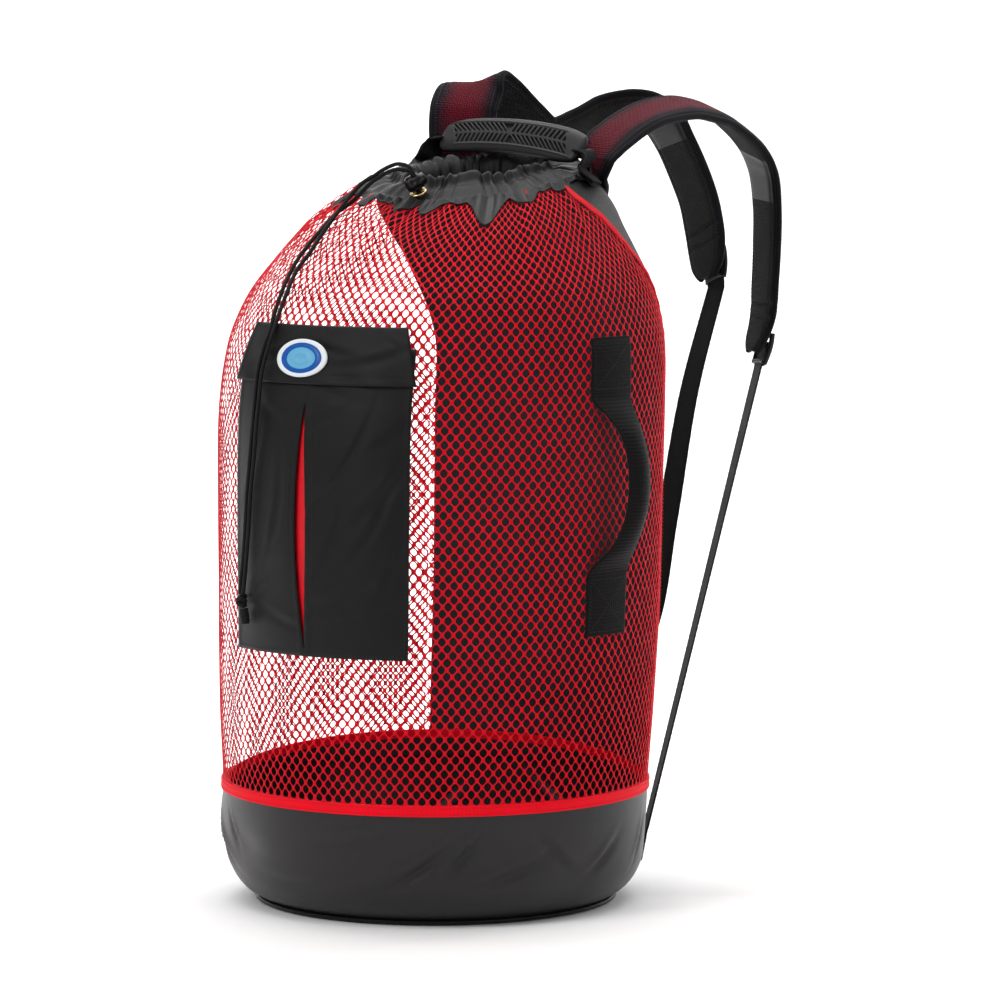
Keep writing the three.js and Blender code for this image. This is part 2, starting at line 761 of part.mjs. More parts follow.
// A flat strip along stations { point, across } with a wide and a wall for each.
// Its outer face looks along across x travel, and shift moves it that way.
function stripSections(stations, shift = 0) {
  return stations.map((station, s) => {
    const before = stations[Math.max(s - 1, 0)].point;
    const after = stations[Math.min(s + 1, stations.length - 1)].point;
    const travel = after.clone().sub(before).normalize();
    const outward = station.across.clone().cross(travel).normalize();
    const across = travel.clone().cross(outward).normalize();
    const half = station.wide / 2;
    const edge = station.edge ?? 0.5;
    const crown = station.crown ?? 1;
    const corners = [
      [-half, edge * 0.3], [-half * crown, 0.5], [half * crown, 0.5], [half, edge * 0.3],
      [half, -edge * 0.3], [half * crown, -0.5], [-half * crown, -0.5], [-half, -edge * 0.3],
    ];
    const used = crown < 1 ? corners : [corners[1], corners[2], corners[5], corners[6]];
    return used.map(([side, out]) => station.point.clone()
      .addScaledVector(across, side)
      .addScaledVector(outward, shift + out * station.wall));
  });
}

// Stations of a smooth path between the rows of a table, by the rows' columns.
function smoothStations(rows, count, read) {
  const places = rows.map((row, i) => ({ ...row, place: i / (rows.length - 1) }));
  const stations = [];
  for (let k = 0; k <= count; k += 1) {
    const row = {};
    for (const column of Object.keys(rows[0])) {
      row[column] = tableValue(places, 'place', column, k / count);
    }
    stations.push(read(row));
  }
  return stations;
}

// Shoulder straps from foot to tip: side as a share of strapApart, back of
// strapReach, up of strapRise above the foot, turn and tilt of the strap's width
// in degrees, wide of strapWidth and thick of strapWall.
const rightStrap = [
  { side: 0.892, back: 0.021, up: -0.243, turn: -29, tilt: -27, wide: 0.9, thick: 0.4 },
  { side: 0.946, back: 0.057, up: 0.195, turn: -28, tilt: -22, wide: 1, thick: 0.8 },
  { side: 0.986, back: 0.136, up: 0.512, turn: -29, tilt: -17, wide: 1, thick: 1 },
  { side: 1.03, back: 0.28, up: 0.83, turn: -29, tilt: -14, wide: 1, thick: 1 },
  { side: 1.054, back: 0.448, up: 0.971, turn: -29, tilt: -14, wide: 1, thick: 1 },
  { side: 1.081, back: 0.571, up: 0.928, turn: -31, tilt: -12, wide: 1, thick: 1 },
  { side: 1.095, back: 0.692, up: 0.755, turn: -30, tilt: -8, wide: 1, thick: 1 },
  { side: 1.112, back: 0.84, up: 0.3, turn: -29, tilt: -4, wide: 1, thick: 1 },
  { side: 1.122, back: 0.921, up: -0.225, turn: -29, tilt: -1, wide: 1, thick: 1 },
  { side: 1.122, back: 0.947, up: -0.9, turn: -29, tilt: 0, wide: 0.98, thick: 1 },
  { side: 1.122, back: 0.947, up: -1.6, turn: -29, tilt: 0, wide: 0.95, thick: 1 },
  { side: 1.115, back: 0.94, up: -2.3, turn: -29, tilt: 0, wide: 0.92, thick: 0.95 },
  { side: 1.105, back: 0.93, up: -2.95, turn: -29, tilt: 0, wide: 0.86, thick: 0.9 },
  { side: 1.045, back: 0.895, up: -3.58, turn: -29, tilt: 0, wide: 0.62, thick: 0.7 },
];

const leftStrap = [
  { side: -1.07, back: -0.01, up: 0.1, turn: 42, tilt: 0, wide: 0.9, thick: 0.4 },
  { side: -1.1, back: 0, up: 0.5, turn: 42, tilt: 0, wide: 1, thick: 0.8 },
  { side: -1.16, back: 0.03, up: 1, turn: 42, tilt: 0, wide: 1, thick: 1 },
  { side: -1.26, back: 0.12, up: 1.34, turn: 42, tilt: 8, wide: 1, thick: 1 },
  { side: -1.25, back: 0.21, up: 1.12, turn: 38, tilt: 24, wide: 1, thick: 1 },
  { side: -1.2, back: 0.33, up: 0.62, turn: 26, tilt: 44, wide: 1, thick: 1 },
  { side: -1.18, back: 0.45, up: 0.24, turn: 18, tilt: 58, wide: 1, thick: 1 },
  { side: -1.169, back: 0.594, up: 0.348, turn: 10, tilt: 66, wide: 1, thick: 1 },
  { side: -1.149, back: 0.734, up: 0.62, turn: 8, tilt: 62, wide: 1, thick: 1 },
  { side: -1.045, back: 0.848, up: 0.784, turn: 2, tilt: 50, wide: 1, thick: 1 },
  { side: -0.858, back: 0.922, up: 0.839, turn: -8, tilt: 34, wide: 1, thick: 1 },
  { side: -0.698, back: 0.977, up: 0.686, turn: -15, tilt: 20, wide: 1, thick: 1 },
  { side: -0.604, back: 1.02, up: 0.306, turn: -17, tilt: 14, wide: 1, thick: 1 },
  { side: -0.48, back: 1.047, up: -0.187, turn: -16, tilt: 10, wide: 1, thick: 1 },
  { side: -0.319, back: 1.055, up: -0.734, turn: -16, tilt: 7, wide: 0.98, thick: 1 },
  { side: -0.196, back: 1.047, up: -1.222, turn: -15, tilt: 4, wide: 0.95, thick: 1 },
  { side: -0.074, back: 1.027, up: -1.726, turn: -15, tilt: 2, wide: 0.88, thick: 0.95 },
  { side: 0.03, back: 0.996, up: -2.262, turn: -15, tilt: 0, wide: 0.62, thick: 0.7 },
];

const footBack = 128;        // how far the straps' feet lie behind the middle
const footUp = 655;          // height of the straps' feet

function strapStations(table, count) {
  return smoothStations(table, count, (row) => ({
    point: new THREE.Vector3(
      strapApart * row.side,
      footBack + strapReach * row.back,
      footUp + strapRise * row.up,
    ),
    across: heading(row.turn * degree, row.tilt * degree),
    wide: strapWidth * row.wide,
    wall: strapWall * row.thick,
    crown: 0.86,
  }));
}

// Where the straps are sewn to the collar: angle, turn and tilt in degrees, height as
// a share of neckHeight and off the collar's face in mm
const strapFeet = {
  right: { angle: 65, height: 0.972, off: 4.2, turn: -24, tilt: -27 },
  left: { angle: 134, height: 0.985, off: 1.6, turn: 43, tilt: 6 },
};

function makeStrap(side, table, count) {
  const stations = strapStations(table, count);
  const foot = strapFeet[side];
  stations[0].point = bodyPoint(foot.angle * degree, neckHeight * foot.height, collarFace + foot.off);
  stations[0].across = heading(foot.turn * degree, foot.tilt * degree);
  addSolid(`strap_pad_${side}`, 'blackNylon', loftFaces(stripSections(stations)));
  return stations;
}

// Moulded grip of the grab handle, arched along X
function gripStation(share) {
  const drop = gripArch * (2 * share) ** 2;
  return {
    point: new THREE.Vector3(
      gripPlace.x + gripLength * share,
      gripPlace.y,
      gripPlace.z - drop - 9 * share,
    ),
    across: heading(Math.PI / 2, Math.PI / 2 - gripLean).negate(),
    wide: gripWidth * (1 - 0.35 * (2 * Math.abs(share)) ** 8),
    wall: gripWall * (1 - 0.3 * (2 * Math.abs(share)) ** 8),
    crown: 0.82,
  };
}

function makeGrip() {
  const count = 14;
  const stations = [];
  for (let k = 0; k <= count; k += 1) stations.push(gripStation(k / count - 0.5));
  addSolid('grab_grip', 'moulded', loftFaces(stripSections(stations)));
}

// Webbing tabs from the grip's ends down to the collar
function makeTab(side, sign) {
  const end = gripStation(sign / 2).point;
  const angle = Math.PI / 2 - sign * (sign > 0 ? 62 : 66) * degree;
  const lift = collarFace + layerGap + tabWall / 2 + 2.4;
  const turn = angle / degree - 90;
  const rows = [
    { point: end.clone().add(new THREE.Vector3(sign * 2 * layerGap, 0, 0)), turn: -90 * sign },
    { point: end.clone().add(new THREE.Vector3(sign * 4, 0, -0.8)), turn: -90 * sign },
    { point: end.clone().add(new THREE.Vector3(sign * 6.5, -0.5, -4.5)), turn: -84 * sign },
    { point: bodyPoint(angle, neckHeight, lift), turn },
    { point: bodyPoint(angle, neckHeight - 12, lift), turn },
  ];
  rows.splice(3, 0, {
    point: rows[2].point.clone().lerp(rows[3].point, 0.5),
    turn: (rows[2].turn + turn) / 2,
  });
  const stations = rows.map((row) => ({
    point: row.point,
    across: heading(row.turn * degree),
    wide: tabWidth * 0.72,
    wall: tabWall,
  }));
  addSolid(`grab_tab_${side}`, 'blackWebbing', loftFaces(stripSections(stations)));
}

// Ladder buckle on the outer face of a strap's tip, a frame with two slots: lap is how
// far up the strap it starts
function makeBuckle(side, stations, lap) {
  const last = stations[stations.length - 1];
  const count = stations.length;
  const travel = last.point.clone().sub(stations[count - 3].point).normalize();
  const outward = last.across.clone().cross(travel).normalize();
  const away = stations[count - 3].wall / 2 + buckleWall / 2 + 3 * layerGap;
  const place = last.point.clone().addScaledVector(travel, -lap).addScaledVector(outward, away);
  const across = travel.clone().cross(outward);
  const halfWide = buckleWidth / 2;
  const outline = new THREE.Shape([
    new THREE.Vector2(-halfWide, 0),
    new THREE.Vector2(halfWide, 0),
    new THREE.Vector2(halfWide * 0.86, buckleHeight),
    new THREE.Vector2(-halfWide * 0.86, buckleHeight),
  ]);
  const slotHalf = webbingWidth / 2 + 0.8;
  for (const foot of [buckleHeight * 0.2, buckleHeight * 0.58]) {
    outline.holes.push(new THREE.Path([
      new THREE.Vector2(-slotHalf, foot),
      new THREE.Vector2(-slotHalf, foot + buckleHeight * 0.22),
      new THREE.Vector2(slotHalf, foot + buckleHeight * 0.22),
      new THREE.Vector2(slotHalf, foot),
    ]));
  }
  const geometry = new THREE.ExtrudeGeometry(outline, { depth: buckleWall, bevelEnabled: false });
  geometry.translate(0, 0, -buckleWall / 2);
  const buckle = addMesh(`strap_buckle_${side}`, 'moulded', geometry);
  buckle.matrix.makeBasis(across, travel, across.clone().cross(travel));
  buckle.quaternion.setFromRotationMatrix(buckle.matrix);
  buckle.position.copy(place);
  const point = place.clone().addScaledVector(travel, buckleHeight + 2 * layerGap);
  return { point, travel, across: last.across };
}

// Lower webbings, from the buckle to the seam on the cup: along as a share of the
// way, and off the straight line, side of strapApart, back and up of strapReach.
const rightWebbing = [
  { along: 0, side: 0, back: 0, up: 0 },
  { along: 0.5, side: 0, back: 0, up: 0 },
  { along: 1, side: 0, back: 0, up: 0 },
];
const leftWebbing = [
  { along: 0, side: 0, back: 0, up: 0 },
  { along: 0.12, side: 0.01, back: 0.035, up: -0.17 },
  { along: 0.28, side: 0.14, back: 0.13, up: -0.33 },
  { along: 0.46, side: 0.3, back: 0.24, up: -0.41 },
  { along: 0.64, side: 0.28, back: 0.24, up: -0.36 },
  { along: 0.82, side: 0.2, back: 0.14, up: -0.2 },
  { along: 1, side: 0, back: 0, up: 0 },
];
const webbingSeam = { height: 55, sewn: 24 };

function makeWebbing(side, sign, table, buckle, startTurn, count) {
  const angle = Math.PI / 2 - sign * (panelAngle / 2);
  const lift = layerGap + webbingWall / 2 + 0.2;
  const top = bodyPoint(angle, webbingSeam.height, lift + 1.7);
  const foot = bodyPoint(angle, webbingSeam.height - webbingSeam.sewn, lift);
  const seamTurn = angle / degree - 90;
  const start = buckle.point.clone().addScaledVector(buckle.travel, webbingWidth / 4);
  const stations = smoothStations(table, count, (row) => ({
    point: start.clone().lerp(top, row.along).add(
      new THREE.Vector3(strapApart * row.side, strapReach * row.back, strapReach * row.up),
    ),
    across: heading((startTurn + (seamTurn - startTurn) * row.along) * degree),
    wide: webbingWidth,
    wall: webbingWall,
  }));
  stations.unshift({ ...stations[0], point: buckle.point, across: buckle.across });
  stations.push({ point: foot, across: heading(seamTurn * degree), wide: webbingWidth, wall: webbingWall });
  addSolid(`strap_webbing_${side}`, 'blackWebbing', loftFaces(stripSections(stations)));
}

// A closed geometry as a solid that can be cut, and back
function toSolid(geometry) {
  const plain = geometry.clone();
  plain.deleteAttribute('normal');
  plain.deleteAttribute('uv');
  const merged = mergeVertices(plain, 1e-4);
  return new wasm.Manifold(new wasm.Mesh({
    numProp: 3,
    vertProperties: new Float32Array(merged.getAttribute('position').array),
    triVerts: new Uint32Array(merged.index.array),
  }));
}

function toGeometry(solid) {
  const mesh = solid.getMesh();
  const geometry = new THREE.BufferGeometry();
  geometry.setAttribute('position', new THREE.BufferAttribute(new Float32Array(mesh.vertProperties), 3));
  geometry.setIndex(new THREE.BufferAttribute(new Uint32Array(mesh.triVerts), 1));
  geometry.computeVertexNormals();
  return geometry;
}

// A turned piece about Z from its half profile, [radius, height] by row
function turned(profile, segments) {
  const points = profile.map(([radius, height]) => new THREE.Vector2(radius, height));
  return new THREE.LatheGeometry(points, segments).rotateX(Math.PI / 2);
}

// Place of the grommet on the front of the collar, and the way its hole looks
function grommetFrame() {
  const low = collarRing(grommetAngle, collarSections[0]);
  const high = collarRing(grommetAngle, collarSections[1]);
  const around = new THREE.Vector3(-Math.sin(grommetAngle), Math.cos(grommetAngle), 0);
  const out = around.clone().cross(high.clone().sub(low)).normalize();
  const place = low.clone().lerp(high, 0.45).addScaledVector(out, layerGap + 0.9);
  return { place, out };
}

function makeGrommet() {
  const { place, out } = grommetFrame();
  const geometry = turned([
    [grommetHole, 0], [grommetRadius, 0], [grommetRadius - 0.5, grommetWall * 0.7],
    [(grommetRadius + grommetHole) / 2, grommetWall], [grommetHole, grommetWall * 0.7],
    [grommetHole, 0],
  ], 16);
  const mesh = addMesh('cord_grommet', 'brass', geometry);
  mesh.quaternion.setFromUnitVectors(new THREE.Vector3(0, 0, 1), out);
  mesh.position.copy(place);
}

// Cord lock: a barrel that the two cords cross, and a sprung plunger down its bore
const holeWide = 2 * cordDiameter + 3 * runningGap;
const holeTall = cordDiameter + 2 * runningGap;
const plungerLow = lockFloor + plungerTravel + runningGap;
const holeLow = plungerLow + plungerFoot;
const lockHeight = holeLow + holeTall + lockRoof;
const lockStandoff = 10.5;     // from the grommet to the middle of the barrel
function lockAxis(out) {
  const axis = new THREE.Vector3(0.35, 0.25, 1);
  return axis.addScaledVector(out, -axis.dot(out)).normalize();
}

function makeLock() {
  const { place, out } = grommetFrame();
  const axis = lockAxis(out);
  const lock = new THREE.Group();
  const side = axis.clone().cross(out);
  lock.quaternion.setFromRotationMatrix(new THREE.Matrix4().makeBasis(out, side, axis));
  lock.position.copy(place).addScaledVector(out, lockStandoff)
    .addScaledVector(axis, -(holeLow + holeTall / 2));
  const bore = plungerRadius + runningGap;
  const reach = 4 * lockRadius;
  const barrelHole = new THREE.BoxGeometry(reach, holeWide, holeTall).translate(0, 0, holeLow + holeTall / 2);
  const barrel = toSolid(turned([
    [0, 0], [lockRadius - 1, 0], [lockRadius, 1], [lockRadius, lockHeight - 1],
    [lockRadius - 0.8, lockHeight], [bore, lockHeight], [bore, lockFloor], [0, lockFloor],
  ], lockSegments)).subtract(toSolid(barrelHole));
  const slotTall = holeTall + plungerTravel;
  const plungerHole = new THREE.BoxGeometry(reach, holeWide, slotTall).translate(0, 0, holeLow + slotTall / 2);
  const plungerTop = lockHeight + plungerProud;
  const plunger = toSolid(turned([
    [0, plungerLow], [plungerRadius, plungerLow], [plungerRadius, plungerTop - 1],
    [plungerRadius - 1, plungerTop], [0, plungerTop],
  ], lockSegments)).subtract(toSolid(plungerHole));
  for (const [name, solid] of [['cord_lock_barrel', barrel], ['cord_lock_plunger', plunger]]) {
    const mesh = new THREE.Mesh(toGeometry(solid), new THREE.MeshStandardMaterial(finishes.moulded));
    mesh.name = name;
    lock.add(mesh);
  }
  group.add(lock);
}

// Route of the drawcord's two strands past the lock, over the shoulder of the net and
// down the pocket to the knot: angle in degrees, height as a share of neckHeight and
// off the body as a share of cordDiameter.
const cordRoutes = {
  left: [
    { angle: -89.5, height: 1.007, off: 7.33 },
    { angle: -94, height: 1.005, off: 7.11 },
    { angle: -98.9, height: 1.001, off: 6.31 },
    { angle: -103.9, height: 0.995, off: 5.06 },
    { angle: -108.3, height: 0.984, off: 2.9 },
    { angle: -111.9, height: 0.968, off: 1.69 },
    { angle: -109.1, height: 0.936, off: 1.06 },
    { angle: -107.2, height: 0.902, off: 1.17 },
    { angle: -105, height: 0.876, off: 1.03 },
    { angle: -102.2, height: 0.852, off: 1.31 },
    { angle: -100.2, height: 0.823, off: 1.67 },
    { angle: -98.6, height: 0.796, off: 2.36 },
    { angle: -98.4, height: 0.771, off: 3.14 },
    { angle: -99.1, height: 0.741, off: 3.19 },
    { angle: -99.4, height: 0.706, off: 2.92 },
    { angle: -99.6, height: 0.673, off: 2.97 },
    { angle: -100.5, height: 0.626, off: 2.92 },
    { angle: -101.6, height: 0.58, off: 2.89 },
    { angle: -102.5, height: 0.531, off: 2.83 },
    { angle: -103.6, height: 0.487, off: 2.81 },
    { angle: -104.6, height: 0.455, off: 2.92 },
    { angle: -104.7, height: 0.4428, off: 2.97 },
  ],
  right: [
    { angle: -83.3, height: 1.009, off: 7.83 },
    { angle: -88.4, height: 1.008, off: 8.69 },
    { angle: -93.6, height: 1.007, off: 8.19 },
    { angle: -99, height: 1.003, off: 7.36 },
    { angle: -103.7, height: 0.999, off: 6.25 },
    { angle: -106.5, height: 0.993, off: 5.8 },
    { angle: -108.2, height: 0.979, off: 4 },
    { angle: -106, height: 0.943, off: 1.33 },
    { angle: -103.4, height: 0.909, off: 1.17 },
    { angle: -102.7, height: 0.884, off: 1.25 },
    { angle: -100, height: 0.856, off: 1.28 },
    { angle: -98.3, height: 0.824, off: 1.61 },
    { angle: -97, height: 0.797, off: 2.47 },
    { angle: -96.8, height: 0.772, off: 3.08 },
    { angle: -97.6, height: 0.742, off: 3.14 },
    { angle: -97.8, height: 0.706, off: 2.97 },
    { angle: -98.1, height: 0.674, off: 3.03 },
    { angle: -98.9, height: 0.627, off: 2.94 },
    { angle: -100, height: 0.581, off: 3 },
    { angle: -100.9, height: 0.532, off: 2.94 },
    { angle: -102, height: 0.488, off: 2.97 },
    { angle: -103, height: 0.455, off: 2.97 },
    { angle: -103.5, height: 0.4428, off: 2.97 },
  ],
};
const knotSpot = { angle: -104.1, height: 0.4415, off: 3 };

function cordSpot(spot) {
  return bodyPoint(spot.angle * degree, neckHeight * spot.height, cordDiameter * spot.off);
}

// A strand's first points run straight out of the grommet and through the lock.
function cordPoints(side) {
  const { place, out } = grommetFrame();
  const across = (side === 'left' ? -1 : 1) * (cordDiameter + runningGap) / 2;
  const start = place.clone().addScaledVector(lockAxis(out).cross(out), across);
  const reaches = [0.6, lockStandoff / 2, lockStandoff, lockStandoff + lockRadius,
    lockStandoff + lockRadius * 1.35];
  const straight = reaches.map((reach) => start.clone().addScaledVector(out, reach));
  return [...straight, ...cordRoutes[side].map(cordSpot)];
}

function makeCord(side) {
  const route = new THREE.CatmullRomCurve3(cordPoints(side), false, 'centripetal');
  const section = new THREE.Shape();
  for (let k = 0; k < cordSides; k += 1) {
    const turn = (k / cordSides) * 2 * Math.PI;
    const [x, y] = [(cordDiameter / 2) * Math.cos(turn), (cordDiameter / 2) * Math.sin(turn)];
    if (k === 0) section.moveTo(x, y);
    else section.lineTo(x, y);
  }
  section.closePath();
  addMesh(`drawcord_${side}`, 'cord', new THREE.ExtrudeGeometry(section, {
    steps: cordSteps,
    extrudePath: route,
    bevelEnabled: false,
  }));
}

// Knot that joins the two strands, and the sleeve over their ends
function makeKnot() {
  const profile = [];
  const rings = 6;
  for (let k = 0; k <= rings; k += 1) {
    const turn = (k / rings - 0.5) * Math.PI;
    profile.push([knotRadius * Math.cos(turn), knotRadius * 0.9 * Math.sin(turn)]);
  }
  profile[0][0] = 0;
  profile[rings][0] = 0;
  const knot = addMesh('cord_knot', 'cord', turned(profile, 10));
  const knotTop = cordSpot(knotSpot);
  knot.position.copy(knotTop).add(new THREE.Vector3(0, 0, -knotRadius * 0.9));
  const lean = new THREE.Vector3(-0.2, 0.03, 1).normalize();
  const sleeve = addMesh('cord_end', 'cord', turned([
    [0, 0], [cordEndRadius * 0.8, 0], [cordEndRadius, 1.5],
    [cordEndRadius * 0.85, cordEndLength], [0, cordEndLength],
  ], 10));
  sleeve.quaternion.setFromUnitVectors(new THREE.Vector3(0, 0, 1), lean);
  sleeve.position.copy(knotTop)
    .add(new THREE.Vector3(0, 0, -knotRadius * 1.8 - layerGap - 0.6))
    .addScaledVector(lean, -cordEndLength);
}

makeCup();
makePiping();
makeTrim();
makeNet();
makeBackPanel();
makeCollar();
makeLining();
makePocket();
makeFlap();
makeBadge();
makeSideHandle();
makeGrip();
makeTab('right', 1);
makeTab('left', -1);
const rightStations = makeStrap('right', rightStrap, 20);
const leftStations = makeStrap('left', leftStrap, 26);
const rightStart = makeBuckle('right', rightStations, 20);
const leftStart = makeBuckle('left', leftStations, 28);
makeWebbing('right', 1, rightWebbing, rightStart, -38, 12);
makeWebbing('left', -1, leftWebbing, leftStart, -14, 16);
makeGrommet();
makeLock();
makeCord('left');
makeCord('right');
makeKnot();

export default group;
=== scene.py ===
import bpy
import bmesh
import math
import numpy as np
from mathutils import Matrix, Vector


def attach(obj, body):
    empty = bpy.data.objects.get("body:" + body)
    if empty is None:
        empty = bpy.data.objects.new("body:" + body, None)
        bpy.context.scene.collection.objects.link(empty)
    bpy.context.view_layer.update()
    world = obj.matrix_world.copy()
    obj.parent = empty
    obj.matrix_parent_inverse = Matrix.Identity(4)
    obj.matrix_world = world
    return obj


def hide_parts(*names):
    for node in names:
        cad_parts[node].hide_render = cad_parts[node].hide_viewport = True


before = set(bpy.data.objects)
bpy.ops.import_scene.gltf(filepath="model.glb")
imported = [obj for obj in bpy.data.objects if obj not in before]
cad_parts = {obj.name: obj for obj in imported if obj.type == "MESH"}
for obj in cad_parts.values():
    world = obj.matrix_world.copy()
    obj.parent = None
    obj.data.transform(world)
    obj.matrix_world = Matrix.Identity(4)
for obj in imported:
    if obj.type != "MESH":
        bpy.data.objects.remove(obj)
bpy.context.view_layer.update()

degree = math.pi / 180
mm = 0.001
scene = bpy.context.scene
scene.view_settings.view_transform = "Standard"
scene.view_settings.look = "None"


def makeCamera():
    stand = {"turn": 42 * degree, "reach": 4.5, "height": 0.775, "lens": 182}
    place = Vector((stand["reach"] * math.sin(stand["turn"]),
                    -stand["reach"] * math.cos(stand["turn"]), stand["height"]))
    data = bpy.data.cameras.new("camera")
    data.lens = stand["lens"]
    data.sensor_width = 36
    data.clip_end = 50
    camera = bpy.data.objects.new("camera", data)
    scene.collection.objects.link(camera)
    camera.location = place
    target = Vector((0.043, 0.039, 0.356))
    camera.rotation_euler = (target - place).to_track_quat("-Z", "Y").to_euler()
    scene.camera = camera


def makeLight(name, place, aim, size, power, color=(1, 1, 1)):
    data = bpy.data.lights.new(name, "AREA")
    data.shape = "RECTANGLE"
    data.size, data.size_y = size
    data.energy = power
    data.color = color
    light = bpy.data.objects.new(name, data)
    light.location = place
    light.rotation_euler = (Vector(aim) - Vector(place)).to_track_quat("-Z", "Y").to_euler()
    scene.collection.objects.link(light)


def makeBackdrop():
    # floor that sweeps up into a wall behind, along the view
    ahead = Vector((-math.sin(42 * degree), math.cos(42 * degree), 0))
    aside = Vector((math.cos(42 * degree), math.sin(42 * degree), 0))
    profile = [(-9, 0), (3.2, 0)]
    for k in range(1, 17):
        turn = k / 16 * math.pi / 2
        profile.append((3.2 + 1.6 * math.sin(turn), 1.6 - 1.6 * math.cos(turn)))
    profile.append((4.8, 6))
    points, faces = [], []
    for reach, height in profile:
        for side in (-7, 7):
            points.append(ahead * reach + aside * side + Vector((0, 0, height)))
    for k in range(len(profile) - 1):
        faces.append((2 * k, 2 * k + 1, 2 * k + 3, 2 * k + 2))
    mesh = bpy.data.meshes.new("floor")
    mesh.from_pydata(points, [], faces)
    mesh.polygons.foreach_set("use_smooth", [True] * len(faces))
    floor = bpy.data.objects.new("floor", mesh)
    scene.collection.objects.link(floor)
    material = bpy.data.materials.new("floorPaint")
    material.use_nodes = True
    shader = material.node_tree.nodes["Principled BSDF"]
    shader.inputs["Base Color"].default_value = (0.93, 0.93, 0.93, 1)
    shader.inputs["Roughness"].default_value = 0.8
    shader.inputs["Specular IOR Level"].default_value = 0.1
    floor.data.materials.append(material)
    return ahead, aside


def makeStudio():
    ahead, aside = makeBackdrop()
    up = Vector((0, 0, 1))
    middle = up * 0.38
    makeLight("keyLight", middle - ahead * 1.6 - aside * 2.0 + up * 1.7, middle, (1.1, 1.6), 36)
    makeLight("fillLight", middle - ahead * 2.4 + aside * 2.2 + up * 0.8, middle, (1.6, 1.8), 15)
    makeLight("topLight", middle + ahead * 0.5 + up * 2.4, middle, (1.4, 1.4), 14)
    makeLight("rimLight", middle + ahead * 1.4 + aside * 2.2 + up * 0.9, middle, (0.8, 1.6), 15)
    makeLight("wallLight", ahead * 1.6 + up * 3.6, ahead * 4.7 + up * 0.9, (5, 1.2), 210)
    makeLight("floorLight", up * 3.9 - ahead * 0.4, up * 0, (3.4, 3.4), 60)
    world = bpy.data.worlds.new("world")
    scene.world = world
    world.use_nodes = True
    world.node_tree.nodes["Background"].inputs["Color"].default_value = (1, 1, 1, 1)
    world.node_tree.nodes["Background"].inputs["Strength"].default_value = 0.36


makeCamera()
makeStudio()
print("stage: camera, lights and floor")


class Nodes:
    # a short way to add and link shader nodes
    def __init__(self, name):
        self.material = bpy.data.materials.new(name)
        self.material.use_nodes = True
        self.tree = self.material.node_tree
        self.shader = self.tree.nodes["Principled BSDF"]

    def add(self, kind, **values):
        node = self.tree.nodes.new(kind)
        for key, value in values.items():
            setattr(node, key, value)
        return node

    def link(self, source, target):
        self.tree.links.new(source, target)

    def math(self, operation, a, b=None, clamp=False):
        node = self.add("ShaderNodeMath", operation=operation, use_clamp=clamp)
        for socket, value in ((node.inputs[0], a), (node.inputs[1], b)):
            if value is None:
                continue
            if isinstance(value, (int, float)):
                socket.default_value = value
            else:
                self.link(value, socket)
        return node.outputs[0]

    def noise(self, scale, detail=3, rough=0.5, vector=None, space="Object"):
        if vector is None:
            vector = self.coordinate(space)
        node = self.add("ShaderNodeTexNoise")
        node.inputs["Scale"].default_value = scale
        node.inputs["Detail"].default_value = detail
        node.inputs["Roughness"].default_value = rough
        self.link(vector, node.inputs["Vector"])
        return node.outputs["Fac"]

    def coordinate(self, space):
        if space == "UV":
            return self.add("ShaderNodeUVMap").outputs["UV"]
        return self.add("ShaderNodeTexCoord").outputs["Object"]

    def wave(self, vector, direction, period, distortion=0):
        node = self.add("ShaderNodeTexWave", bands_direction=direction)
        node.inputs["Scale"].default_value = 2 * math.pi / (20 * period)
        node.inputs["Distortion"].default_value = distortion
        self.link(vector, node.inputs["Vector"])
        return node.outputs["Fac"]

    def mix(self, fac, a, b):
        node = self.add("ShaderNodeMix", data_type="RGBA")
        self.link(fac, node.inputs["Factor"])
        for socket, value in ((node.inputs["A"], a), (node.inputs["B"], b)):
            if isinstance(value, tuple):
                socket.default_value = (*value, 1)
            else:
                self.link(value, socket)
        return node.outputs["Result"]

    def bump(self, height, strength, distance):
        node = self.add("ShaderNodeBump")
        node.inputs["Strength"].default_value = strength
        node.inputs["Distance"].default_value = distance
        self.link(height, node.inputs["Height"])
        self.link(node.outputs["Normal"], self.shader.inputs["Normal"])


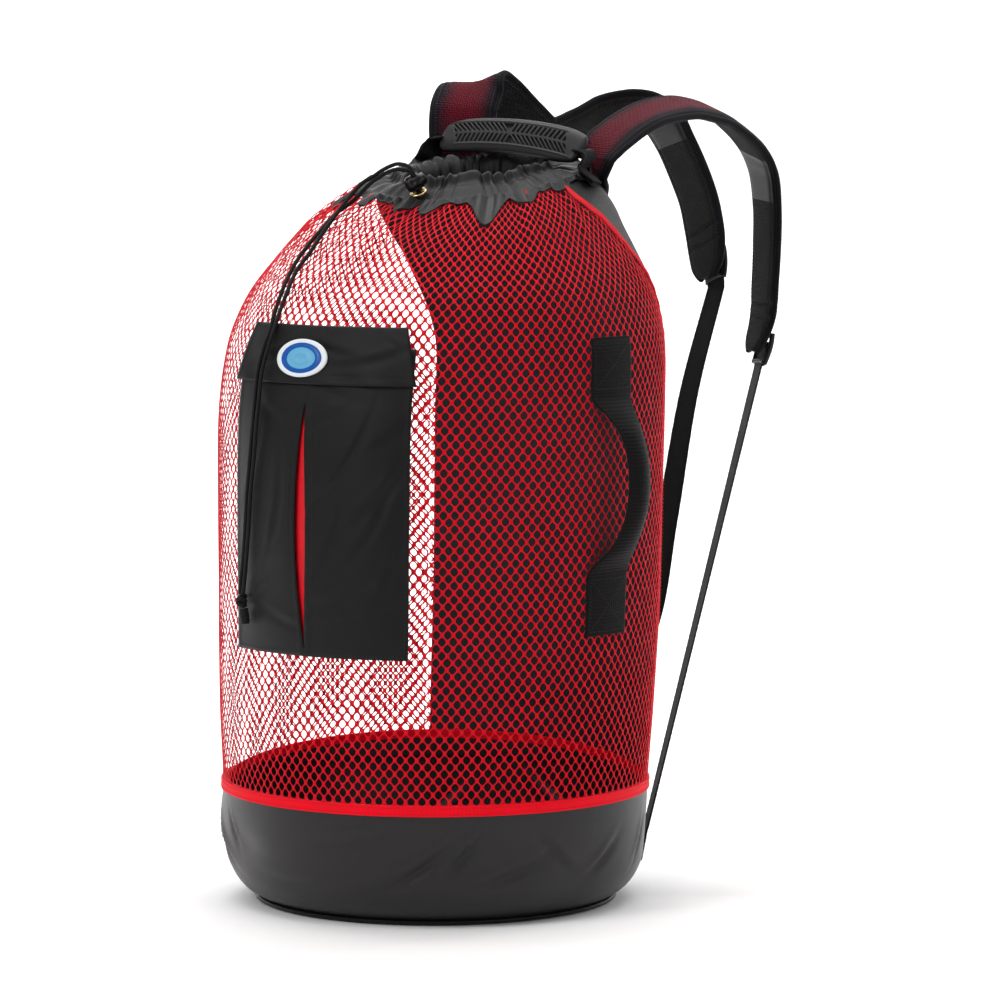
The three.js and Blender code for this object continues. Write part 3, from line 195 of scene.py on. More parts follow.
def clothMaterial(name, color, dark=0.75, rough=0.7, thread=0.6, strength=0.5, sheen=0.2,
                  mottle=30, rib=None, gloss=0.25, worn=0):
    # woven cloth: warp and weft in the UV map's millimetres, mottled colour
    nodes = Nodes(name)
    uv = nodes.coordinate("UV")
    warp = nodes.wave(uv, "X", rib[0] if rib else thread)
    weft = nodes.wave(uv, "Y", rib[1] if rib else thread)
    weave = nodes.math("MULTIPLY", warp, weft)
    if rib:
        weave = nodes.math("ADD", nodes.math("MULTIPLY", weft, 0.75), nodes.math("MULTIPLY", warp, 0.25))
    fluff = nodes.noise(900, 2)
    height = nodes.math("ADD", weave, nodes.math("MULTIPLY", fluff, 0.3))
    patches = nodes.noise(mottle, 4)
    shade = nodes.math("ADD", nodes.math("MULTIPLY", patches, 0.55), nodes.math("MULTIPLY", weave, 0.45))
    low = tuple(value * dark for value in color)
    nodes.link(nodes.mix(shade, low, tuple(min(value * 1.12, 1) for value in color)),
               nodes.shader.inputs["Base Color"])
    polish = nodes.math("ADD", nodes.math("MULTIPLY", patches, 0.12), rough - 0.06)
    nodes.link(polish, nodes.shader.inputs["Roughness"])
    nodes.shader.inputs["Specular IOR Level"].default_value = gloss
    nodes.shader.inputs["Sheen Weight"].default_value = sheen
    nodes.shader.inputs["Sheen Roughness"].default_value = 0.4
    if worn:
        # broad shallow creases of a coated or crisp cloth
        long = nodes.noise(mottle * 0.4, 2)
        fold = nodes.math("ABSOLUTE", nodes.math("SUBTRACT", long, 0.5))
        height = nodes.math("ADD", height, nodes.math("MULTIPLY", fold, worn))
    nodes.bump(height, strength, 0.0003)
    return nodes.material


def mouldedMaterial(name, color, rough=0.4, grain=0.25):
    nodes = Nodes(name)
    fine = nodes.noise(1400, 2)
    wide = nodes.noise(60, 3)
    nodes.link(nodes.mix(wide, tuple(value * 0.85 for value in color), color),
               nodes.shader.inputs["Base Color"])
    gloss = nodes.math("ADD", nodes.math("MULTIPLY", wide, 0.12), rough - 0.06)
    nodes.link(gloss, nodes.shader.inputs["Roughness"])
    nodes.shader.inputs["Specular IOR Level"].default_value = 0.25
    nodes.bump(fine, grain, 0.0001)
    return nodes.material


def brassMaterial():
    nodes = Nodes("brassPolished")
    wide = nodes.noise(220, 4)
    nodes.link(nodes.mix(wide, (0.52, 0.36, 0.12), (0.83, 0.66, 0.32)), nodes.shader.inputs["Base Color"])
    nodes.shader.inputs["Metallic"].default_value = 1
    nodes.link(nodes.math("ADD", nodes.math("MULTIPLY", wide, 0.15), 0.16), nodes.shader.inputs["Roughness"])
    nodes.bump(nodes.noise(900, 2), 0.15, 0.0001)
    return nodes.material


def spacerMaterial(name, color, gap, edge=None, period=2.2):
    # knitted spacer mesh: rows of small gaps, darker towards the bound edges
    nodes = Nodes(name)
    uv = nodes.coordinate("UV")
    warp = nodes.wave(uv, "X", period)
    weft = nodes.wave(uv, "Y", period * 0.8)
    dots = nodes.math("MULTIPLY", warp, weft)
    across = nodes.wave(uv, "DIAGONAL", period * 1.1)
    knit = nodes.math("ADD", nodes.math("MULTIPLY", dots, 0.8), nodes.math("MULTIPLY", across, 0.2))
    patches = nodes.noise(24, 3)
    shade = nodes.math("ADD", nodes.math("MULTIPLY", knit, 0.85), nodes.math("MULTIPLY", patches, 0.25))
    tone = nodes.mix(shade, gap, color)
    if edge:
        split = nodes.add("ShaderNodeSeparateXYZ")
        nodes.link(uv, split.inputs[0])
        away = nodes.math("ABSOLUTE", split.outputs[0])
        spread = nodes.math("ADD", away, nodes.math("MULTIPLY", patches, 12))
        fade = nodes.add("ShaderNodeMapRange", clamp=True, interpolation_type="SMOOTHSTEP")
        fade.inputs["From Min"].default_value = 14
        fade.inputs["From Max"].default_value = 31
        nodes.link(spread, fade.inputs["Value"])
        tone = nodes.mix(fade.outputs["Result"], tone, edge)
    nodes.link(tone, nodes.shader.inputs["Base Color"])
    nodes.shader.inputs["Roughness"].default_value = 0.7
    nodes.shader.inputs["Specular IOR Level"].default_value = 0.12
    nodes.shader.inputs["Sheen Weight"].default_value = 0.02
    nodes.bump(knit, 1, 0.0016)
    return nodes.material


finish = {
    "coated": clothMaterial("coatedCloth", (0.018, 0.016, 0.0165), dark=0.75, rough=0.36, thread=0.5,
                            strength=0.25, sheen=0.005, mottle=18, gloss=0.26, worn=2.2),
    "net": clothMaterial("netYarn", (0.78, 0.0015, 0.015), dark=0.6, rough=0.55, thread=0.5, strength=0.5,
                         sheen=0.01, mottle=40, gloss=0.12),
    "tape": clothMaterial("redTape", (0.9, 0.0015, 0.014), dark=0.75, rough=0.6, rib=(1.1, 0.8),
                          strength=0.7, sheen=0.01, gloss=0.1),
    "lining": clothMaterial("redLining", (0.85, 0.002, 0.014), dark=0.55, rough=0.45, thread=0.5,
                            strength=0.4, sheen=0.02, mottle=60, gloss=0.3),
    "nylon": clothMaterial("blackNylon", (0.006, 0.0052, 0.0056), dark=0.6, rough=0.34, thread=0.55,
                           strength=0.35, sheen=0.006, mottle=25, gloss=0.17, worn=2.6),
    "panel": clothMaterial("panelCloth", (0.034, 0.038, 0.042), dark=0.6, rough=0.6, thread=0.6,
                           strength=0.4, sheen=0.02, mottle=14, gloss=0.1),
    "webbing": clothMaterial("blackWebbing", (0.0085, 0.0075, 0.0075), dark=0.55, rough=0.55,
                             rib=(1.6, 1.1), strength=1, sheen=0.01, gloss=0.07),
    "binding": clothMaterial("blackBinding", (0.0075, 0.0064, 0.0085), dark=0.6, rough=0.6,
                             rib=(1.4, 0.9), strength=0.8, sheen=0.01, gloss=0.07),
    "thread": clothMaterial("darkThread", (0.022, 0.02, 0.021), dark=0.7, rough=0.5, thread=0.4,
                            strength=0.3, sheen=0.02, gloss=0.15),
    "redThread": clothMaterial("redThread", (0.68, 0.003, 0.014), dark=0.7, rough=0.5, thread=0.4,
                               strength=0.3, sheen=0.02, gloss=0.15),
    "spacer": spacerMaterial("blackSpacer", (0.026, 0.023, 0.022), (0.001, 0.001, 0.001)),
    "redSpacer": spacerMaterial("redSpacer", (0.27, 0.002, 0.02), (0.012, 0.0005, 0.004),
                                edge=(0.006, 0.004, 0.009)),
    "cord": clothMaterial("cordBraid", (0.0085, 0.0078, 0.008), dark=0.45, rough=0.6, rib=(1.2, 1.2),
                          strength=0.9, sheen=0.02, gloss=0.15),
    "moulded": mouldedMaterial("mouldedBlack", (0.012, 0.011, 0.0115), rough=0.42),
    "glossy": mouldedMaterial("glossyBlack", (0.006, 0.0055, 0.006), rough=0.16, grain=0.05),
    "badgeRim": mouldedMaterial("badgeRim", (0.74, 0.77, 0.8), rough=0.35, grain=0.1),
    "badgeRing": mouldedMaterial("badgeRing", (0.006, 0.085, 0.36), rough=0.3, grain=0.1),
    "badgeMiddle": mouldedMaterial("badgeMiddle", (0.13, 0.4, 0.62), rough=0.35, grain=0.1),
    "brass": brassMaterial(),
}
print("stage: materials")


form = {"radius": 198, "baseRadius": 150, "neckRadius": 97, "neckHeight": 643, "neckLean": 50,
        "neckTilt": 19, "tiltAngle": 103 * degree, "dent": 6, "panelHalf": 43.5 * degree}
# height share, radius share, lean share, tilt share
sections = np.array([
    (0, 150 / 198, 0, 0), (0.02, 0.866, 0, 0), (0.048, 0.926, 0, 0), (0.077, 0.945, 0, 0),
    (0.132, 0.957, 0, 0), (0.177, 0.96, 0, 0), (0.27, 0.98, 0.03, 0), (0.41, 0.995, 0.1, 0),
    (0.55, 1.003, 0.13, 0), (0.687, 1.003, 0.18, 0), (0.77, 0.987, 0.29, 0),
    (0.812, 0.955, 0.35, 0.03), (0.854, 0.9, 0.44, 0.1), (0.894, 0.815, 0.53, 0.25),
    (0.925, 0.745, 0.6, 0.42), (0.947, 0.695, 0.68, 0.58), (0.97, 0.62, 0.8, 0.77),
    (0.985, 0.56, 0.9, 0.88), (1, 97 / 198, 1, 1),
])
# angle, height share, wide, tall, depth share
dents = [(-138, 0.1, 14, 0.05, -0.5), (-112, 0.09, 9, 0.02, 0.5), (-34, 0.085, 16, 0.03, 0.8),
         (-8, 0.055, 11, 0.03, 0.6), (60, 0.1, 15, 0.04, 0.7), (150, 0.08, 14, 0.035, 0.8),
         (-146, 0.83, 10, 0.05, 0.5), (90, 0.55, 24, 0.16, 1)]


def tableValue(keys, values, at):
    # the same smooth curve through a table's rows that the solids follow
    at = np.asarray(at, float)
    last = len(keys) - 1
    slope = lambda i, k: (values[k] - values[i]) / (keys[k] - keys[i])
    i = np.clip(np.searchsorted(keys, at, side="right") - 1, 0, last - 1)
    span = keys[i + 1] - keys[i]
    t = (at - keys[i]) / span
    before = slope(np.maximum(i - 1, 0), i + 1)
    after = slope(i, np.minimum(i + 2, last))
    blend = t * t * (3 - 2 * t)
    value = (values[i] * (1 - blend) + values[i + 1] * blend
             + span * (before * t * (1 - t) ** 2 - after * t * t * (1 - t)))
    beyond = values[last] + slope(last - 1, last) * (at - keys[last])
    return np.where(at >= keys[last], beyond, np.where(at <= keys[0], values[0], value))


shareGrid = np.linspace(0, 1.03, 2000)
columnGrids = [tableValue(sections[:, 0], sections[:, k], shareGrid) for k in (1, 2, 3)]


def bodySurface(angle, height):
    angle, height = np.broadcast_arrays(np.asarray(angle, float), np.asarray(height, float))
    share = height / form["neckHeight"]
    radius, lean, tilt = [np.interp(share, shareGrid, column) for column in columnGrids]
    depth = np.zeros_like(share)
    for place, high, wide, tall, deep in dents:
        turn = np.angle(np.exp(1j * (angle - place * degree)))
        depth += deep * form["dent"] * np.exp(-(turn / (wide * degree)) ** 2 - ((share - high) / tall) ** 2)
    reach = form["radius"] * radius - depth
    lift = form["neckTilt"] * tilt * np.cos(angle - form["tiltAngle"]) * reach / form["neckRadius"]
    return np.stack([reach * np.cos(angle), form["neckLean"] * lean + reach * np.sin(angle),
                     height + lift], axis=-1)


def bodyNormal(angle, height):
    around = bodySurface(angle + 0.01, height) - bodySurface(angle - 0.01, height)
    up = bodySurface(angle, height + 1) - bodySurface(angle, height - 1)
    normal = np.cross(around, up)
    return normal / np.linalg.norm(normal, axis=-1, keepdims=True)


def bodyPoint(angle, height, offset=0.0):
    point = bodySurface(angle, height)
    return point + bodyNormal(angle, height) * np.asarray(offset, float)[..., None]


def sewnPoint(angle, across, height, offset):
    return bodyPoint(angle + np.asarray(across) / form["radius"], height, offset)


def evenHeights(low, high, count):
    samples = np.linspace(low, high, 600)
    points = bodySurface(0, samples)
    lengths = pathLengths(points)
    return np.interp(np.linspace(0, lengths[-1], count + 1), lengths, samples)


def makeObject(name, points, faces, material, uvs=None, body="bag"):
    # a smooth mesh from points in millimetres, riding a body of the frame
    mesh = bpy.data.meshes.new(name)
    mesh.from_pydata((np.asarray(points, float).reshape(-1, 3) * mm).tolist(), [], faces)
    if uvs is not None:
        layer = mesh.uv_layers.new(name="UVMap")
        index = np.empty(len(mesh.loops), int)
        mesh.loops.foreach_get("vertex_index", index)
        layer.data.foreach_set("uv", np.asarray(uvs, float).reshape(-1, 2)[index].ravel())
    mesh.polygons.foreach_set("use_smooth", [True] * len(mesh.polygons))
    for key in material if isinstance(material, list) else [material]:
        mesh.materials.append(finish[key])
    mesh.update()
    piece = bpy.data.objects.new(name, mesh)
    scene.collection.objects.link(piece)
    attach(piece, body)
    return piece


def gridFaces(rows, columns, wrap=False, skip=None):
    faces = []
    for j in range(rows - 1):
        for i in range(columns if wrap else columns - 1):
            if skip and skip(i, j):
                continue
            k = (i + 1) % columns
            faces.append((j * columns + i, j * columns + k, (j + 1) * columns + k, (j + 1) * columns + i))
    return faces


def closedFaces(rows, sides):
    # a lofted tube with a face over each end
    ends = [tuple(reversed(range(sides))), tuple((rows - 1) * sides + i for i in range(sides))]
    return gridFaces(rows, sides, True) + ends


def pathLengths(points):
    return np.concatenate([[0], np.cumsum(np.linalg.norm(np.diff(points, axis=0), axis=1))])


def gridUvs(points):
    # millimetres along the rows and up the columns of a grid of points
    rows, columns = points.shape[:2]
    u = np.zeros((rows, columns))
    v = np.zeros((rows, columns))
    middle = points[rows // 2]
    u[:, 1:] = np.cumsum(np.linalg.norm(np.diff(middle, axis=0), axis=1))
    v[1:] = np.cumsum(np.linalg.norm(np.diff(points, axis=0), axis=2).mean(axis=1))[:, None]
    return np.stack([u, v], axis=-1)


def makeGrid(name, points, material, wrap=False, skip=None, wall=0, body="bag"):
    # a sheet from a grid of points, given its wall inwards
    rows, columns = points.shape[:2]
    piece = makeObject(name, points, gridFaces(rows, columns, wrap, skip), material, gridUvs(points),
                       body=body)
    if wall:
        solid = piece.modifiers.new("wall", "SOLIDIFY")
        solid.thickness = wall * mm
        solid.offset = -1
        solid.use_even_offset = False
    return piece


def makeTube(name, path, radius, material, sides, wrap=False, squash=1):
    # a round tube along a path of points
    path = np.asarray(path, float)
    count = len(path)
    if wrap:
        ahead, behind = np.roll(path, -1, 0), np.roll(path, 1, 0)
    else:
        ahead = np.vstack([path[1:], 2 * path[-1] - path[-2]])
        behind = np.vstack([2 * path[0] - path[1], path[:-1]])
    travel = ahead - behind
    travel /= np.linalg.norm(travel, axis=1, keepdims=True)
    reference = np.array([0.0, 0.0, 1.0]) if abs(travel[:, 2]).max() < 0.9 else np.array([0.31, 0.9, 0.28])
    side = np.cross(travel, reference)
    side /= np.linalg.norm(side, axis=1, keepdims=True)
    top = np.cross(side, travel)
    turns = np.arange(sides) / sides * 2 * math.pi
    radius = np.broadcast_to(np.asarray(radius, float), (count,))
    ring = (np.cos(turns)[None, :, None] * side[:, None]
            + squash * np.sin(turns)[None, :, None] * top[:, None])
    points = path[:, None] + ring * radius[:, None, None]
    faces = []
    for j in range(count if wrap else count - 1):
        for i in range(sides):
            k = (i + 1) % sides
            m = (j + 1) % count
            faces.append((j * sides + k, j * sides + i, m * sides + i, m * sides + k))
    if not wrap:
        faces.append(tuple(range(sides)))
        faces.append(tuple((count - 1) * sides + i for i in reversed(range(sides))))
    lengths = pathLengths(path)
    uvs = np.stack(np.broadcast_arrays(turns[None, :] * radius.mean(), lengths[:, None]), axis=-1)
    return makeObject(name, points, faces, material, uvs)


def makeStitches(name, path, normals, material):
    # short flat threads along a path, each a small raised lump
    pitch, length, width, height = 3.4, 2.3, 0.7, 0.35
    path = np.asarray(path, float)
    lengths = pathLengths(path)
    count = int(lengths[-1] / pitch)
    points, faces = [], []
    for k in range(count):
        ends = [(k + 0.5) * pitch - length / 2, (k + 0.5) * pitch + length / 2]
        a, b = [np.array([np.interp(e, lengths, path[:, c]) for c in range(3)]) for e in ends]
        n = np.array([np.interp(sum(ends) / 2, lengths, normals[:, c]) for c in range(3)])
        n /= np.linalg.norm(n)
        t = (b - a) / np.linalg.norm(b - a)
        s = np.cross(t, n)
        base = len(points)
        middle = (a + b) / 2 + n * height
        points += [a, a + (middle - a) * 0.45 + s * width / 2, a + (middle - a) * 0.45 - s * width / 2,
                   b + (middle - b) * 0.45 + s * width / 2, b + (middle - b) * 0.45 - s * width / 2, b,
                   middle + n * height * 0.4]
        faces += [(base, base + 1, base + 6, base + 2), (base + 1, base + 3, base + 6),
                  (base + 4, base + 2, base + 6), (base + 3, base + 5, base + 4, base + 6)]
    return makeObject(name, points, faces, material)


cordRoutes = {
    "left": [
        (10.2, -34.9, 632.9), (10.5, -37.1, 636.9), (10.9, -39.6, 641.5), (11.4, -43.1, 648),
        (11.6, -44.4, 650.3), (1.9, -50.9, 652.3), (-6, -52.7, 650.7), (-15.1, -55.3, 646),
        (-25.1, -58.8, 638.9), (-35.8, -66.3, 625.6), (-47, -78.8, 612.6), (-47.4, -105.6, 593),
        (-47.5, -126.3, 575.3), (-44.5, -141.7, 560.8), (-38.6, -156.7, 547.7), (-34, -170.4, 530.6),
        (-29.9, -181.5, 514.4), (-30.1, -189.6, 498.3), (-33, -193.5, 478.7), (-34.1, -196, 455.3),
        (-34.9, -198, 433.4), (-38.2, -198.5, 402.8), (-42.1, -198, 373), (-45.2, -197.5, 341.5),
        (-49, -196.5, 313.1), (-52.5, -195.9, 292.5), (-52.8, -195.9, 284.7)],
    "right": [
        (13.8, -36.2, 631.9), (14.1, -38.4, 636), (14.5, -40.9, 640.6), (15, -44.4, 647.1),
        (15.1, -45.6, 649.4), (12.5, -48.6, 654.9), (4.1, -52, 657.2), (-5, -52.2, 655.4),
        (-15, -54.7, 650.7), (-24, -56, 645.2), (-30.5, -61.2, 640.4), (-37.3, -73.9, 625.9),
        (-39.1, -103.9, 597.1), (-36.4, -125.3, 578.7), (-37.1, -139.4, 565.6), (-31.4, -156.1, 550),
        (-27.6, -170.9, 531.1), (-24.4, -182.4, 515.2), (-24.4, -190, 499), (-27.5, -194, 479.3),
        (-28.3, -197, 455.3), (-29.5, -199, 434.1), (-32.4, -199.5, 403.4), (-36.4, -199.5, 373.7),
        (-39.5, -199, 342.1), (-43.4, -198.3, 313.7), (-46.9, -197.4, 292.5), (-48.6, -197, 284.7)],
}


def smoothPath(points, step):
    # centripetal spline through the points, sampled about every step
    points = np.asarray(points, float)
    padded = np.vstack([2 * points[0] - points[1], points, 2 * points[-1] - points[-2]])
    path = []
    for i in range(1, len(padded) - 2):
        p0, p1, p2, p3 = padded[i - 1:i + 3]
        t0 = 0
        t1 = t0 + np.linalg.norm(p1 - p0) ** 0.5
        t2 = t1 + np.linalg.norm(p2 - p1) ** 0.5
        t3 = t2 + np.linalg.norm(p3 - p2) ** 0.5
        count = max(2, int(round(np.linalg.norm(p2 - p1) / step)))
        for t in np.linspace(t1, t2, count, endpoint=False):
            a1 = (t1 - t) / (t1 - t0) * p0 + (t - t0) / (t1 - t0) * p1
            a2 = (t2 - t) / (t2 - t1) * p1 + (t - t1) / (t2 - t1) * p2
            a3 = (t3 - t) / (t3 - t2) * p2 + (t - t2) / (t3 - t2) * p3
            b1 = (t2 - t) / (t2 - t0) * a1 + (t - t0) / (t2 - t0) * a2
            b2 = (t3 - t) / (t3 - t1) * a2 + (t - t1) / (t3 - t1) * a3
            path.append((t2 - t) / (t2 - t1) * b1 + (t - t1) / (t2 - t1) * b2)
    path.append(points[-1])
    return np.array(path)


def makeCords():
    cord = {"radius": 1.8, "sides": 12, "step": 1.6}
    knotTop = np.array([-50.74, -196.56, 283.83])
    turns = np.linspace(0, 2 * math.pi, 200)
    # knot: one strand wound twice round the pair
    wind = np.stack([3.4 * np.cos(2 * turns + 0.4), 3.0 * np.sin(2 * turns + 0.4),
                     -1.2 - 7.2 * turns / (2 * math.pi) + 0.8 * np.sin(turns * 3)], axis=1) + knotTop
    knot = makeTube("cordKnot", wind, 2.1, "cord", 10)
    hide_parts("cord_knot")
    low = knotTop + np.array([2.9, -0.4, -11.5])
    lean = np.array([-0.2, 0.03, 1]) / np.linalg.norm([-0.2, 0.03, 1])
    sleevePath = [low + lean * s for s in np.linspace(0.2, -13.4, 18)]
    swell = 3.6 + 0.5 * np.sin(np.linspace(0, math.pi, 18)) + 0.25 * np.sin(np.linspace(0, 26, 18))
    sleeve = makeTube("cordEnd", sleevePath, swell, "cord", 12)
    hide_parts("cord_end")
    for side, route in cordRoutes.items():
        path = smoothPath(route, cord["step"])
        count = len(path)
        turn = np.arange(count) * 0.9
        radius = cord["radius"] * (1 + 0.035 * np.sin(turn * 2.2))
        piece = makeTube("drawcord" + side.capitalize(), path, radius, "cord", cord["sides"])
        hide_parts("drawcord_" + side)


makeCords()
print("stage: drawcord")


cupHeight = 108
trimTop = 109.7
ringColumns = 288


def creaseAt(angle, height, rows):
    # narrow soft folds: angle, height, slant in degrees, long and wide in mm, depth
    depth = np.zeros(np.broadcast(angle, height).shape)
    for place, high, slant, long, wide, deep in rows:
        x = np.angle(np.exp(1j * (angle - place * degree))) * 190
        y = height - high
        along = x * math.cos(slant * degree) + y * math.sin(slant * degree)
        off = -x * math.sin(slant * degree) + y * math.cos(slant * degree)
        bow = off - 0.0025 * along * along
        fold = np.exp(-(bow / wide) ** 2) - 0.5 * np.exp(-((bow - 1.6 * wide) / wide) ** 2)
        depth = depth + deep * np.exp(-(along / long) ** 2) * fold
    return depth


cupCreases = [
    (-134, 62, -48, 26, 4.5, 2.6), (-128, 46, -30, 30, 4, 2.2), (-120, 70, -60, 16, 3, 1.4),
    (-52, 52, 34, 34, 5, 2.6), (-40, 66, 46, 24, 4, 2.4), (-28, 44, 20, 36, 5, 2.2),
    (-14, 60, -40, 24, 4, 1.8), (4, 52, 38, 22, 4, 1.8), (26, 60, 60, 20, 4, 1.6),
    (-86, 34, 5, 50, 5, 1.2), (-70, 78, 12, 30, 4, 1.0), (60, 50, -30, 30, 5, 2), (95, 60, 30, 30, 5, 2),
    (130, 46, -40, 26, 5, 2), (165, 60, 35, 28, 5, 2), (-165, 50, -35, 28, 5, 2),
]


def cupOffset(angle, height):
    fade = np.clip(height / 14, 0, 1) * np.clip((104 - height) / 16, 0, 1)
    return -1.7 * creaseAt(angle, height, cupCreases) * fade


def makeCup():
    angles = np.linspace(0, 2 * math.pi, ringColumns, endpoint=False)
    heights = np.concatenate([[0, 1.2, 3.4, 6.5, 10, 14], np.linspace(18.5, cupHeight, 26)])
    angle, height = np.meshgrid(angles, heights)
    wall = bodyPoint(angle, height, cupOffset(angle, height))
    wall[0, :, 2] = 0
    rows = [wall[0] * np.array([share, share, 1]) for share in (0.001, 0.3, 0.6, 0.85, 0.95)]
    points = np.concatenate([np.array(rows), wall])
    points[..., 2] = np.maximum(points[..., 2], 0)
    cup = makeGrid("baseCup", points, "coated", wrap=True, wall=2)
    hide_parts("base_cup")

    seam = bodyPoint(angles, np.full_like(angles, 5.0), np.full_like(angles, 2.3))
    piping = makeTube("basePiping", seam, 2.05, "nylon", 12, wrap=True)
    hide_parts("base_piping")

    low, face = trimTop - 9.5, 1.7
    outline = [(low, 0.35), (low, face), (low + 0.6, face + 0.25), (low + 2.6, face), (low + 4.6, face + 0.2),
               (trimTop - 2.6, face), (trimTop - 0.8, face + 0.25), (trimTop, face - 0.5),
               (trimTop + 0.2, -1), (trimTop, -3.0), (trimTop - 1, -3.7), (trimTop - 6, -3.6),
               (low + 0.5, -3.7), (low, -3.4), (low, -2.3)]
    rings = []
    for high, off in outline:
        ring = bodyPoint(angles, np.full_like(angles, high), np.full_like(angles, off))
        ring[:, 2] = high
        rings.append(ring)
    points = np.array(rings)
    trim = makeGrid("baseTrim", points, ["tape", "nylon"], wrap=True)
    for polygon in trim.data.polygons:
        polygon.material_index = 1 if polygon.index // ringColumns >= 11 else 0
    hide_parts("base_trim")
    for k, high in enumerate((low + 2.2, trimTop - 2.2)):
        path = bodyPoint(angles, np.full_like(angles, high), np.full_like(angles, face + 0.05))
        path[:, 2] = high
        normals = np.stack([np.cos(angles), np.sin(angles), np.zeros_like(angles)], axis=1)
        path = np.vstack([path, path[:1]])
        normals = np.vstack([normals, normals[:1]])
        makeStitches("trimStitches%d" % k, path, normals, "redThread")


def makeInnerTape():
    # the tape on the inside climbs a little towards the rear, over the cup's lining
    angles = np.linspace(0, 2 * math.pi, ringColumns, endpoint=False)
    climb = np.clip(np.cos(angles - 132 * degree), 0, 1) ** 1.3 * 15
    top = trimTop - 0.6 + climb
    rows = []
    for down, off in ((0, -4.0), (0.4, -4.7), (2.5, -4.5), (5, -4.7), (7.2, -4.5), (7.8, -4.7), (8.2, -4.0)):
        rows.append(bodyPoint(angles, top - down, off + 0 * angles))
    makeGrid("innerTape", np.array(rows), "tape", wrap=True)
    rows = [bodyPoint(angles, (top - 7.6) * (1 - share) + 100 * share, -4.1 - 0.3 * share + 0 * angles)
            for share in np.linspace(0, 1, 5)]
    makeGrid("cupLining", np.array(rows), "coated", wrap=True)


makeCup()
makeInnerTape()
print("stage: cup and trim")


# height share, half the panel's angle as a share of its angle low down
yoke = np.array([(0, 1), (0.7, 1), (0.757, 1.02), (0.8, 1.08), (0.835, 1.17), (0.877, 1.32), (0.905, 1.47),
                 (0.93, 1.62), (0.957, 1.79), (0.98, 1.93), (1, 2.02)])


def panelHalf(height):
    share = np.asarray(height, float) / form["neckHeight"]
    return form["panelHalf"] * tableValue(yoke[:, 0], yoke[:, 1], share)


def pleatAt(angle, height):
    # folds of the net where the drawcord gathers it, deeper towards the neck
    rise = np.clip((height - 545) / 98, 0, 1)
    wave = (np.abs(np.sin(11 * angle + 1.3 * np.sin(5 * angle))) - 0.6
            + 0.45 * np.sin(31 * angle + 1) + 0.3 * np.sin(47 * angle))
    slack = 0.9 * np.sin(3 * angle + height / 60) * np.clip((height - 130) / 80, 0, 1)
    return 3.4 * rise ** 1.5 * wave - 0.6 * np.abs(slack)


def netCorner(angle, height, off):
    return bodyPoint(angle, height, off + pleatAt(angle, height))


